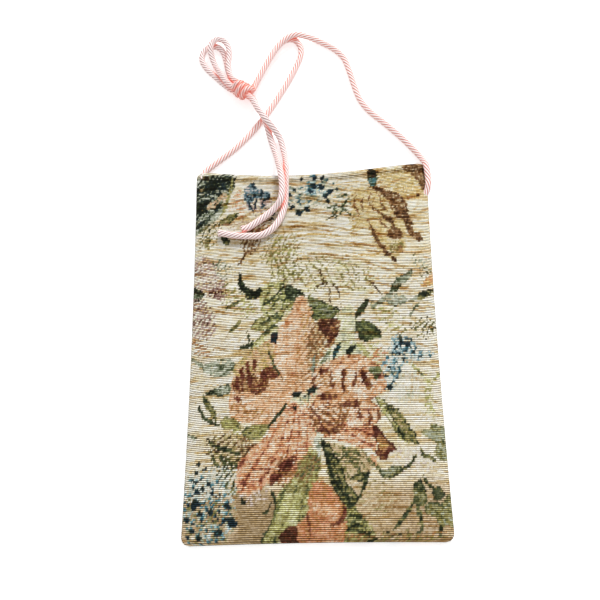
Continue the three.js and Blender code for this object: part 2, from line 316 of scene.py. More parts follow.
def cluster(cloth, palette, outline, spacing, radius, seed):
    """Small berries strewn over an outline, some dark and some pale."""
    line = smooth_line(outline, True)
    low, high = line.min(0), line.max(0)
    row, column = np.mgrid[0 : (high[1] - low[1]) / spacing, 0 : (high[0] - low[0]) / spacing]
    row, column = row.ravel(), column.ravel()
    x = low[0] + spacing * (column + lattice(column, row, seed))
    y = low[1] + spacing * (row + lattice(column, row, seed + 1))
    for i in np.flatnonzero(in_outline(x, y, line)):
        size = radius * (BERRY_LEAST + BERRY_SPREAD * lattice(column[i], row[i], seed + 2))
        light = BERRY_LIGHT * lattice(column[i], row[i], seed + 3)
        berries(cloth, palette, [(x[i], y[i], size)], light)


def weave_ground(cloth):
    """Cream ribs that waver between ivory and straw, cooler at both sides and darker towards the bottom,
    with painted shade and highlights over the puckers.
    """
    everywhere = np.arange(len(cloth.x))
    x, y = cloth.x, cloth.y
    waver = soft_noise(x / GROUND_WAVER_CELL[0], y / GROUND_WAVER_CELL[1], seed=11)
    upper_right = smooth_step(-10, 30, x) * smooth_step(-10, 30, y)
    right_middle = smooth_step(35, 55, x) * smooth_step(-20, 5, y) * smooth_step(75, 55, y)
    tone = GROUND_LIGHT + GROUND_WAVER * waver
    # Painted light and shade: the ground is paler on pucker slopes that face the light and darker on slopes
    # that face away.
    tone += GROUND_THREAD * (cloth.thread - 0.5) - GROUND_SLOPE_SHADE * cloth.slope
    tone += HIGHER_LIFT * smooth_step(-60, 100, y) + UPPER_RIGHT_LIFT * upper_right
    tone += RIGHT_MIDDLE_LIFT * right_middle
    lay_threads(cloth, everywhere, tone, GROUND)
    warm = cloth.colour.copy()
    lay_threads(cloth, everywhere, tone - SIDE_SHADE, PALE_GROUND)
    cool = (smooth_step(36, 66, np.abs(x)) * smooth_step(20, -20, y))[:, None]
    cloth.colour = cool * cloth.colour + (1 - cool) * warm
    # Painted highlights: patches of the ground are brightened towards ivory, as if catching the light.
    lit = smooth_step(*LIT_RANGE, soft_noise(x / LIT_CELL[0], y / LIT_CELL[1], seed=14))[:, None]
    cloth.colour += LIT_SHARE * lit * (np.array(THREADS["ivory"]) - cloth.colour)
    # Painted shade: thin darker streaks across the ground, where shade falls under small puckers.
    shade_streaks = soft_noise(x / STREAK_CELL[0], y / STREAK_CELL[1], seed=13)
    tint(cloth, smooth_step(*STREAK_RANGE, shade_streaks), STREAK_SHADE_TINT)
    for pale in ([(44, 56), (58, 56), (58, 48), (52, 40), (44, 38)],
                 [(-62, 60), (-46, 60), (-46, 52), (-50, 47), (-62, 47)],
                 [(74, -2), (88, -2), (88, -12), (74, -12)]):
        field(cloth, "cream ivory ivory", pale, light=0.8, cover=0.5)
    # Painted shadows: rust strokes under a few puckers in the upper half.
    for crease in ([(-14, 79), (2, 80.5), (20, 79)],
                   [(7, 52), (16, 53.5), (26, 53)],
                   [(24, 70), (36, 71), (46, 69)],
                   [(-40, 42), (-33, 42.5), (-27, 42)],
                   [(30, 62), (40, 62.5), (50, 62)],
                   [(8, 62.5), (14, 63), (22, 62)]):
        stroke(cloth, "rust ochre tan", crease, width=2.2, light=0.6)
    tint(cloth, smooth_step(10, 50, x) * smooth_step(30, 70, y), SUNNY_TINT)
    tint(cloth, smooth_step(-92, -112, y), LOWER_TINT)


def weave_top_left(cloth):
    """The dark bloom in the corner, and the slate flower between the cord tails."""
    field(cloth, "pine forest sage sage mist", [(-89, 134), (-74, 136), (-60, 134), (-58, 124), (-66, 112),
          (-66, 104), (-76, 92), (-90, 86)], light=0.6, rim=0)
    hatch(cloth, "pine pine navy forest", [(-89, 131), (-58, 135), (-58, 126), (-76, 112), (-80, 106),
          (-90, 101)], slant=58, pitch=3.4, light=0.4, cover=0.7)
    field(cloth, NIGHT_BLOOM, [(-87, 129), (-78, 133), (-67, 134), (-59, 132), (-60, 126), (-66, 121),
          (-72, 118), (-77, 114), (-80, 108), (-87, 103), (-89, 112)], root=(-54, 138), veins=9, light=0.32,
          rim=0)
    field(cloth, NIGHT_BLOOM, [(-70, 112), (-68, 107), (-73, 102), (-77, 97), (-83, 92), (-90, 90),
          (-89, 101), (-84, 106), (-78, 108)], root=(-60, 118), veins=9, light=0.4, rim=0)
    field(cloth, "pine bark olive", [(-84, 136), (-79, 135), (-78, 132), (-83, 132)], rim=0)
    hatch(cloth, "brown tan peach cream", [(-80, 108), (-74, 113), (-64, 121), (-62, 116), (-70, 110),
          (-76, 106)], slant=40, pitch=2.8, light=0.6, cover=0.8)
    hatch(cloth, "coral peach blush", [(-60, 120), (-52, 122), (-50, 104), (-52, 92), (-60, 96)], slant=5,
          pitch=3.2, light=0.5, cover=0.35)
    stroke(cloth, "forest olive lime gold", [(-60, 132), (-61, 123), (-63, 115), (-65, 107), (-68, 99)],
           width=2.6)
    field(cloth, OLIVE_LEAF, [(-55, 101), (-60, 101), (-66, 97), (-70, 93), (-63, 92), (-57, 96)],
          light=0.5)
    hatch(cloth, OLIVE_LEAF, [(-84, 92), (-74, 96), (-66, 94), (-68, 84), (-76, 72), (-84, 74)], slant=50,
          pitch=3.2, light=0.5, cover=0.42)
    hatch(cloth, "brown tan mauve straw", [(-66, 92), (-56, 96), (-47, 100), (-42, 92), (-56, 86)],
          slant=20, pitch=3, light=0.7)
    hatch(cloth, "slate mauve lilac pearl", [(-51, 111), (-38, 113), (-30, 114), (-29, 106), (-36, 98),
          (-46, 99)], slant=95, pitch=3.2, light=0.5, cover=0.72)
    field(cloth, "navy navy slate slate lilac", [(-51, 117), (-49, 124), (-43, 127), (-40, 122), (-34, 119),
          (-30, 116), (-33, 111), (-40, 113), (-46, 110), (-51, 112)], root=(-41, 104), veins=5, light=0.5,
          rim=0)
    for line in ([(-47, 112), (-46, 106), (-43, 101)],
                 [(-40, 113), (-42, 107), (-41, 103)],
                 [(-35, 113), (-36, 108), (-35, 104)]):
        stroke(cloth, "navy navy slate", line, width=2.2)
    berries(cloth, NAVY_BLOOM, [(-28, 99, 1.8), (-30, 95, 1.7), (-20, 124, 1.8)])
    hatch(cloth, "burgundy brown rust tan", [(-50, 84), (-38, 97), (-30, 95), (-28, 86), (-38, 80)],
          slant=35, pitch=3, light=0.45, cover=0.75)


def weave_top_middle(cloth):
    """Teal berries on pale sprigs, along the mouth."""
    hatch(cloth, "forest sage mist celery ivory", [(-22, 120), (-8, 124), (6, 127), (24, 120), (31, 106),
          (20, 95), (8, 102), (-2, 97), (-18, 101)], slant=40, pitch=3.0, light=0.6, cover=0.42)
    field(cloth, "teal slate sky mist", [(-4, 124), (5, 125), (8, 115), (2, 111), (-4, 114)], cover=0.7)
    cluster(cloth, "navy teal sage sky mist cream", [(-20, 120), (-6, 124), (2, 131), (12, 128), (20, 119),
            (14, 108), (2, 112), (-6, 98), (-18, 104)], spacing=4.4, radius=1.5, seed=45)
    berries(cloth, "navy navy teal sage", [(-16, 115, 2.2), (-18, 108, 2), (0, 117, 2.2), (3, 129, 2.4),
            (2, 122, 2.6), (15, 116, 2.2)])
    berries(cloth, NAVY_BLOOM, [(-14, 104, 2.2), (-9, 99, 2.6), (-3, 102, 2.4), (8, 121, 2.4), (9, 128, 2),
            (11, 112, 2.6), (13, 108, 1.9), (20, 118, 1.7), (-12, 119, 1.6), (-7, 128, 1.5)])
    for sprig in ([(22, 95), (25, 104), (31, 113)],
                  [(19, 93), (17, 100), (21, 107)],
                  [(30, 94), (26, 99), (23, 106)],
                  [(10, 91), (16, 95), (21, 101)],
                  [(27, 103), (33, 108), (31, 115)],
                  [(12, 102), (18, 104), (24, 102)],
                  [(16, 112), (22, 111), (28, 114)]):
        stroke(cloth, "pine forest sage", sprig, width=1.5)


def weave_tulip(cloth):
    """The ochre tulip at the upper right, its petals striped with dark brown."""
    field(cloth, "ochre gold gold straw", [(52, 133), (72, 134), (86, 128), (87, 114), (78, 108), (64, 114),
          (54, 118)], cover=0.8)
    field(cloth, "rust ochre ochre gold", [(64, 116), (72, 119), (84, 118), (86, 111), (78, 108),
          (68, 109)], light=0.6, cover=0.75)
    field(cloth, TULIP, [(31, 116), (44, 119), (56, 117), (68, 110), (72, 98), (70, 84), (68, 67), (60, 59),
          (53, 62), (46, 74), (42, 84), (35, 84), (31, 99)], root=(56, 136), veins=9, light=0.66, rim=0)
    field(cloth, "rust ochre gold gold", [(46, 84), (56, 82), (60, 74), (58, 64), (52, 62), (47, 70)],
          light=0.6, cover=0.85)
    field(cloth, BARK, [(69, 135), (78, 139), (86, 138), (89, 128), (88, 116), (85, 116), (82, 123),
          (76, 130)], light=0.7, rim=0)
    field(cloth, BARK, [(52, 118), (60, 115), (67, 112), (72, 104), (72, 95), (68, 91), (63, 93), (62, 101),
          (59, 106), (54, 111)], root=(56, 134), veins=9, light=0.55, rim=0)
    field(cloth, BARK, [(68, 98), (73, 95), (75, 88), (75, 82), (80, 79), (83, 75), (78, 73), (72, 79),
          (70, 84)], light=0.4, rim=0)
    field(cloth, BARK, [(48, 101), (54, 96), (61, 92), (63, 85), (67, 80), (65, 75), (58, 75), (56, 79),
          (59, 86), (54, 92)], light=0.45, rim=0)
    stroke(cloth, BARK, [(46, 122), (50, 118), (56, 114)], width=4)
    for vein in ([(46, 114), (44, 107), (47, 100), (51, 96)],
                 [(52, 112), (53, 104), (57, 98)],
                 [(40, 110), (38, 104), (39, 97)],
                 [(34, 113), (33, 104), (36, 95)],
                 [(61, 112), (60, 104), (62, 96)],
                 [(50, 90), (55, 86), (58, 80)]):
        stroke(cloth, "bark brown rust", vein, width=1.7)
    stroke(cloth, BARK, [(43, 89), (46, 81), (49, 73), (54, 66), (59, 60)], width=3.2)
    field(cloth, "brown olive olive ochre", [(58, 71), (62, 74), (67, 71), (66, 66), (62, 63), (58, 64)],
          cover=0.95)
    field(cloth, "olive ochre gold straw", [(29, 96), (36, 96), (37, 86), (34, 75), (29, 80)], light=0.55,
          cover=0.7)
    field(cloth, "straw cream ivory", [(41, 109), (45, 107), (45, 100), (42, 101)], cover=0.8)
    berries(cloth, BARK, [(55, 63, 2.2), (60, 58, 2.2), (81, 112, 1.4)])
    field(cloth, "forest teal sage", [(44, 128), (51, 128), (51, 123), (48, 119), (45, 121)], light=0.4)
    field(cloth, "pine bark olive", [(43, 133), (50, 134), (51, 128), (44, 127)], light=0.4)


def weave_left_edge(cloth):
    """The speckled mauve bloom on the left, with dusty stems and leaves beside it."""
    hatch(cloth, MAUVE, [(-89, 66), (-80, 68), (-72, 61), (-66, 52), (-62, 40), (-64, 31), (-74, 34),
          (-89, 33)], slant=35, pitch=2.6, light=0.6, cover=0.6)
    field(cloth, "wine mauve mauve lilac", [(-78, 41), (-68, 41), (-62, 35), (-63, 30), (-70, 31),
          (-77, 36)], light=0.3, cover=0.8)
    field(cloth, "pine forest sage", [(-90, 42), (-83, 41), (-79, 36), (-84, 31), (-90, 32)], light=0.4)
    hatch(cloth, MAUVE, [(-89, 33), (-79, 32), (-71, 20), (-70, 6), (-77, -1), (-89, 4)], slant=55, pitch=3,
          light=0.42, cover=0.66)
    hatch(cloth, "brown rust mauve straw", [(-87, 3), (-78, 1), (-70, -6), (-74, -13), (-85, -9)], slant=20,
          pitch=3, light=0.5)
    hatch(cloth, SAGE_LEAF, [(-74, 62), (-64, 63), (-58, 56), (-63, 46), (-70, 50)], slant=45, pitch=3,
          light=0.45, cover=0.5)
    stroke(cloth, "forest olive tan", [(-77, 83), (-79, 78), (-76, 73)], width=3.6)
    field(cloth, "pine forest olive", [(-68, 84), (-63, 83), (-61, 78), (-62, 74), (-65, 75), (-67, 79)],
          light=0.4)
    hatch(cloth, "bark brown tan", [(-53, 80), (-44, 84), (-37, 81), (-39, 70), (-46, 65), (-52, 70)],
          slant=75, pitch=2.8, light=0.5, cover=0.68)
    stroke(cloth, BARK, [(-48, 68), (-51, 63), (-55, 57)], width=2)
    hatch(cloth, "brown olive lime straw", [(-36, 76), (-20, 84), (-6, 76), (-8, 62), (-22, 54), (-36, 58)],
          slant=70, pitch=3, light=0.5, cover=0.42)
    field(cloth, DARK_LEAF, [(-53, 52), (-50, 44), (-46, 39), (-41, 37), (-34, 40), (-36, 33), (-41, 30),
          (-46, 30), (-51, 35), (-54, 43)], light=0.05, rim=0)
    hatch(cloth, PALE_LEAF, [(-64, 46), (-52, 36), (-40, 28), (-40, 16), (-52, 18), (-64, 24)], slant=35,
          pitch=3.4, light=0.55, cover=0.4)
    stroke(cloth, OLIVE_LEAF, [(-63, 24), (-58, 26), (-53, 30)], width=3.4)
    stroke(cloth, OLIVE_LEAF, [(-61, 5), (-56, 9), (-51, 15)], width=3.2)
    stroke(cloth, SAGE_LEAF, [(-88, -10), (-82, -16), (-74, -21)], width=2.4, light=0.3)
    field(cloth, SAGE_LEAF, [(-79, -19), (-70, -15), (-60, -14), (-55, -19), (-60, -26), (-69, -27)],
          root=(-52, -18), veins=8, light=0.42)
    field(cloth, "pine forest sage mist", [(-76, -38), (-68, -35), (-58, -33), (-57, -38), (-64, -41),
          (-72, -40)], light=0.5)
    stroke(cloth, OLIVE_LEAF, [(-77, -40), (-74, -46), (-70, -52), (-67, -59)], width=5, light=0.35)
    stroke(cloth, DARK_LEAF, [(-80, -47), (-77, -54), (-71, -59), (-65, -61)], width=3)
    stroke(cloth, SAGE_LEAF, [(-88, -65), (-84, -69), (-80, -69)], width=2.4, light=0.25)


def weave_foliage(cloth):
    """Yellow-green foliage above the lily, with dark leaves on both sides of its upper petal."""
    lace = [
        (-34, 52), (-20, 62), (2, 66), (22, 60), (42, 54), (48, 42), (36, 30), (16, 34), (0, 31),
        (-14, 38), (-28, 42),
    ]
    field(cloth, "olive gold celery cream ivory", lace, light=0.84, cover=0.85)
    hatch(cloth, "olive olive lime", lace, slant=120, pitch=4.6, light=0.5, cover=0.14)
    field(cloth, "forest olive lime celery cream", [(-34, 41), (-22, 43), (-12, 36), (-10, 28), (-16, 20),
          (-24, 14), (-34, 18), (-38, 28)], root=(-44, 4), veins=7, light=0.5, rim=0)
    field(cloth, GREEN_LEAF, [(-24, 41), (-12, 37), (-10, 28), (-15, 19), (-22, 22), (-26, 32)],
          root=(-30, 10), veins=8, light=0.58, cover=0.75)
    hatch(cloth, "forest olive lime", [(-33, 66), (-18, 70), (-8, 60), (-8, 46), (-22, 44), (-32, 50)],
          slant=100, pitch=3.2, light=0.6, cover=0.3)
    field(cloth, PALE_LEAF, [(-45, 7), (-39, 15), (-30, 21), (-23, 23), (-21, 16), (-28, 9), (-36, 6)],
          root=(-50, 4), veins=5, light=0.45)
    field(cloth, PALE_LEAF, [(-44, -8), (-39, 0), (-31, 8), (-25, 9), (-24, 3), (-30, -3), (-38, -9)],
          root=(-50, -14), veins=5, light=0.5)
    stroke(cloth, DARK_LEAF, [(-36, 25), (-28, 31), (-22, 38)], width=1.8)
    stroke(cloth, DARK_LEAF, [(-40, 10), (-32, 14), (-24, 20)], width=1.5)
    field(cloth, DARK_LEAF, [(-21, 40), (-14, 39), (-8, 35), (-5, 31), (-11, 27), (-17, 29)], light=0.45)
    stroke(cloth, DARK_LEAF, [(-52, -6), (-47, -6), (-42, -4)], width=3.4)
    stroke(cloth, DARK_LEAF, [(-47, 7), (-46, 1), (-45, -5)], width=1.8)
    stroke(cloth, DARK_LEAF, [(-42, 2), (-43, -3), (-46, -7)], width=1.6)
    for stem in ([(6, 54), (7, 46), (10, 38)],
                 [(14, 42), (19, 33), (21, 22)],
                 [(42, 43), (46, 36), (50, 30)],
                 [(12, 38), (13, 31), (13, 24)],
                 [(0, 35), (5, 39), (11, 41)],
                 [(-20, 48), (-20, 44), (-19, 39)]):
        stroke(cloth, "pine bark olive", stem, width=1.2)
    field(cloth, "sage celery celery ivory", [(17, 14), (27, 23), (31, 12), (29, 0), (34, -12), (26, -18),
          (12, -20), (10, -10), (18, 0)], root=(24, 34), veins=9, light=0.6)
    field(cloth, "pine forest moss moss sage", [(-3, 31), (3, 29), (11, 25), (19, 20), (15, 14), (7, 12),
          (1, 13), (-1, 21)], root=(26, 18), veins=10, light=0.62)
    stroke(cloth, DARK_LEAF, [(31, 13), (35, 20), (40, 27)], width=4.2)
    field(cloth, "pine forest forest moss", [(29, 10), (36, 11), (41, 10), (45, 6), (49, -1), (44, -3),
          (35, -4), (32, 0), (30, 5)], root=(24, 16), veins=8, light=0.62)
    stroke(cloth, "navy pine teal", [(14, -18), (16, -11), (19, -5)], width=3.2)
    stroke(cloth, "navy pine forest", [(23, -15), (26, -10), (30, -7)], width=4)
    stroke(cloth, SAGE_LEAF, [(6, -21), (9, -15), (13, -10)], width=3.4, light=0.3)
    hatch(cloth, PALE_LEAF, [(30, -4), (46, -6), (50, -16), (44, -22), (34, -16)], slant=130, pitch=3,
          light=0.6, cover=0.4)
    stroke(cloth, "olive lime celery", [(31, -6), (35, -11), (38, -17)], width=3.2, light=0.6)


def weave_right_sprays(cloth):
    """Grey-green sprays down the right side, a cluster of blue berries, and olive leaves."""
    field(cloth, "forest forest sage sage", [(55, 33), (58, 39), (62, 44), (67, 47), (72.5, 51), (72, 45),
          (66, 39), (60, 33)], light=0.42)
    field(cloth, "olive sage sage", [(40, 24), (46, 26), (48, 22), (42, 19)], cover=0.9)
    stroke(cloth, SAGE_LEAF, [(42, 20), (50, 26), (58, 33)], width=3.4, light=0.35)
    field(cloth, SAGE_LEAF, [(52, 28), (60, 31), (68, 27), (62, 22), (55, 23)], light=0.35)
    stroke(cloth, SAGE_LEAF, [(68, 25), (75, 28), (82, 34)], width=2.8, light=0.4)
    stroke(cloth, OLIVE_LEAF, [(75, 27), (81, 30), (88, 36)], width=4)
    field(cloth, OLIVE_LEAF, [(75, 29), (78, 28), (82, 30), (87, 36), (82, 34), (77, 32)], light=0.15)
    field(cloth, "apricot ochre apricot gold", [(77, 36), (80, 40), (84, 45), (89, 48), (89, 41), (84, 37)],
          light=0.45, rim=0)
    hatch(cloth, SAGE_LEAF, [(72, 62), (88, 60), (88, 50), (78, 46)], slant=50, pitch=3.4, light=0.5,
          cover=0.25)
    hatch(cloth, "pine olive sage", [(76, 53), (84, 54), (86, 47), (80, 43), (76, 46)], slant=120,
          pitch=2.6, light=0.5, cover=0.32)
    stroke(cloth, "forest sage", [(69, 14), (72, 19), (76, 24)], width=1.9)
    hatch(cloth, OLIVE_LEAF, [(68, 10), (88, 13), (89, 0), (74, -3)], slant=55, pitch=3.2, light=0.45,
          cover=0.42)
    hatch(cloth, PALE_LEAF, [(44, 24), (62, 18), (66, 2), (50, 2), (46, 10)], slant=30, pitch=3.6,
          light=0.65, cover=0.34)
    hatch(cloth, "celery mist ivory ivory", [(55, -16), (69, -20), (74, -34), (70, -48), (58, -50),
          (53, -40)], slant=80, pitch=3.2, light=0.5, cover=0.6)
    spray = [
        (56, -1), (68, -2), (74, -8), (84, -14), (74, -19), (66, -20), (59, -28), (54, -41), (46, -36),
        (48, -22), (53, -10),
    ]
    field(cloth, "teal sky mist ivory", spray, light=0.5, cover=0.6)
    cluster(cloth, "navy teal slate sky mist ivory", spray, spacing=2.3, radius=1.0, seed=51)
    berries(cloth, NAVY_BLOOM, [(62, -6, 1.8), (66, -7, 2.2), (58, -9, 1.4), (60, -14, 1.5), (63, -18, 1.4),
            (52, -38, 1.9), (50, -30, 1.3), (53, -24, 1.3), (70, -13, 1.4), (74, -16, 1.2)])
    stroke(cloth, DARK_LEAF, [(60, 2), (61, -2), (63, -6)], width=1.5)
    stroke(cloth, PALE_LEAF, [(67, -21), (73, -27), (78, -33)], width=2.2, light=0.35)
    field(cloth, "olive lime celery cream", [(75, -28), (80, -27), (82, -38), (81, -48), (82, -60),
          (76, -59), (74, -48), (76, -38)], light=0.5, cover=0.85)
    stroke(cloth, PALE_LEAF, [(82, -35), (85, -30), (89, -26)], width=2.2, light=0.35)
    field(cloth, PALE_LEAF, [(42, -45), (49, -48), (55, -56), (60, -68), (63, -77), (56, -72), (51, -62),
          (46, -54)], root=(38, -40), veins=6, light=0.6)
    field(cloth, OLIVE_LEAF, [(48, -50), (55, -52), (61, -59), (66, -68), (69, -77), (63, -76), (58, -72),
          (54, -62)], root=(42, -42), veins=8, light=0.42)
    field(cloth, "lilac pearl pearl", [(43, -64), (56, -79), (72, -78), (80, -92), (72, -97), (56, -97),
          (50, -90)], light=0.5, cover=0.5)
    grey_leaf = "forest olive sage sage"
    field(cloth, grey_leaf, [(71, -69), (76, -67), (79, -63), (85, -65), (89, -64), (89, -73), (83, -76),
          (77, -74)], light=0.58)
    field(cloth, grey_leaf, [(80, -80), (84, -75), (89, -76), (89, -88), (83, -88), (80, -85)], light=0.52)
    stroke(cloth, OLIVE_LEAF, [(70, -79), (72, -84), (77, -86), (80, -90)], width=2.8, light=0.3)
    stroke(cloth, OLIVE_LEAF, [(31, -80), (36, -87), (41, -92), (46, -98), (51, -98), (57, -94), (63, -91),
           (67, -84)], width=3.2, light=0.25)
    field(cloth, "coral apricot peach", [(37, -83), (40, -85), (40.5, -91), (38, -88)], rim=0)
    field(cloth, grey_leaf, [(41, -93), (46, -94), (51, -92), (57, -92), (51, -98), (46, -98)],
          root=(60, -88), veins=6, light=0.45)


def weave_lower_right(cloth):
    """Grey-green leaves on a branch in the lower right corner, over a low olive clump."""
    hatch(cloth, "olive tan straw", [(28, -99), (44, -101), (56, -108), (48, -120), (34, -128), (26, -118)],
          slant=20, pitch=4, light=0.6, cover=0.5)
    field(cloth, "pine forest olive", [(66, -102), (69, -100), (71, -104), (72.5, -110), (66, -110),
          (63.5, -108)], light=0.5)
    field(cloth, "forest olive sage", [(64.5, -109), (72, -108), (72.5, -114), (68, -118), (64.5, -116)],
          light=0.5)
    field(cloth, "pine forest olive", [(76.5, -108), (80, -105), (84.5, -110), (82, -114), (77, -114)],
          light=0.45)
    stroke(cloth, OLIVE_LEAF, [(71, -98), (73, -102), (77, -107)], width=2.6, light=0.2)
    field(cloth, "forest olive olive sage", [(71, -118), (76, -115), (82, -116), (86, -110), (90, -107),
          (90, -129), (84, -130), (79, -129), (77, -124), (72, -122)], root=(64, -112), veins=7, light=0.48)
    stroke(cloth, OLIVE_LEAF, [(64, -115), (58, -124), (50, -132)], width=3.4, light=0.25)
    stroke(cloth, OLIVE_LEAF, [(66, -117), (68, -126), (65, -139)], width=3, light=0.3)
    stroke(cloth, OLIVE_LEAF, [(59, -131), (60, -135), (61, -139)], width=2)
    stroke(cloth, OLIVE_LEAF, [(82, -128), (80, -133), (79, -138)], width=3, light=0.3)
    field(cloth, "pine forest olive lime tan", [(17, -116), (24, -116), (29, -122), (36, -130), (39, -139),
          (14, -139)], light=0.36, rim=0)
    hatch(cloth, "pine olive olive lime", [(30, -131), (44, -133), (56, -135), (58, -139), (30, -139)],
          slant=20, pitch=3, light=0.4, cover=0.6)
    hatch(cloth, "brown olive rust tan", [(14, -133), (40, -134), (60, -135), (86, -134), (86, -140),
          (12, -140)], slant=10, pitch=3.6, light=0.4, cover=0.75)


def weave_lower_left(cloth):
    """Olive leaves under the lily's left side, and blue berries in the lower left corner."""
    field(cloth, "olive lime celery", [(-60, -64), (-50, -62), (-44, -63), (-50, -68), (-58, -68)],
          light=0.4, cover=0.8)
    field(cloth, "forest olive olive lime", [(-65, -59), (-61, -55.5), (-56, -57), (-51, -61), (-53, -65),
          (-60, -64.5), (-64, -62)], root=(-50, -64), veins=6, light=0.58)
    field(cloth, "forest olive olive lime", [(-50, -67), (-45, -63), (-38, -61.5), (-31, -61), (-33, -68),
          (-38, -72), (-44, -72), (-48, -70)], root=(-28, -60), veins=7, light=0.58)
    field(cloth, "olive tan straw", [(-72, -76), (-68, -67), (-58, -65), (-46, -72), (-40, -78), (-44, -84),
          (-52, -91), (-62, -89), (-70, -84)], light=0.45, cover=0.8)
    hatch(cloth, "pine bark olive tan", [(-74, -68), (-62, -66), (-52, -70), (-44, -74), (-48, -88),
          (-58, -96), (-68, -90), (-74, -80)], slant=35, pitch=3.0, light=0.55, cover=0.45)
    field(cloth, "bark brown tan straw", [(-54, -72), (-46, -70), (-40, -74), (-42, -82), (-52, -83)],
          cover=0.7)
    stroke(cloth, OLIVE_LEAF, [(-73, -71), (-66, -76), (-58, -79), (-50, -82)], width=3.4, light=0.2)
    for x, y in ((-70, -82), (-65, -81), (-60, -83), (-55, -86)):
        stroke(cloth, "pine forest olive", [(x, y), (x + 3, y - 4), (x + 5, y - 9)], width=2.4)
    stroke(cloth, BARK, [(-46, -79), (-41, -76), (-37, -77)], width=2.4)
    field(cloth, "slate mist mist ivory", [(-86, -94), (-72, -90), (-56, -90), (-51, -104), (-56, -112),
          (-74, -113), (-88, -112)], light=0.6, cover=0.65)
    hatch(cloth, "forest olive sage mist", [(-87, -112), (-56, -112), (-52, -126), (-58, -138),
          (-84, -138)], slant=50, pitch=3.2, light=0.6, cover=0.55)
    hatch(cloth, OLIVE_LEAF, [(-66, -92), (-54, -90), (-50, -104), (-54, -112), (-62, -106)], slant=60,
          pitch=3, light=0.4, cover=0.4)
    cluster(cloth, "navy navy teal teal sky mist ivory", [(-84, -94), (-72, -96), (-60, -102), (-54, -112),
            (-54, -128), (-62, -138), (-84, -138), (-88, -116)], spacing=3.2, radius=1.05, seed=61)
    berries(cloth, NAVY_BLOOM, [(-78.5, -87.6, 1.7), (-73.8, -90.7, 1.4), (-80, -93.4, 1.6),
            (-80, -99, 1.3), (-77, -98, 1.2), (-70.6, -100.7, 1.8), (-75.4, -104, 1.4), (-79, -105.5, 1.9),
            (-68.5, -107, 1.8), (-79.6, -113.4, 3), (-58, -116, 2.5), (-76.4, -119.7, 1.8), (-69, -119, 2),
            (-54.8, -126, 3.4), (-58.5, -124, 1.8), (-85.4, -123.4, 1.9), (-82, -130.7, 1.8),
            (-64.3, -132.3, 2.6), (-76.4, -135.5, 2)], light=0.3)
    field(cloth, "dun dun dun tan", [(-51, -106), (-36, -106), (-26, -112), (-28, -126), (-34, -139),
          (-56, -139), (-51, -130)], light=0.3, rim=0)
    hatch(cloth, "tan lilac lilac", [(-50, -105), (-34, -104), (-31, -112), (-44, -116)], slant=5, pitch=3,
          light=0.6, cover=0.5)
    berries(cloth, "pine pine forest olive", [(-47.5, -113.4, 2.1), (-49, -111.5, 1.5)])


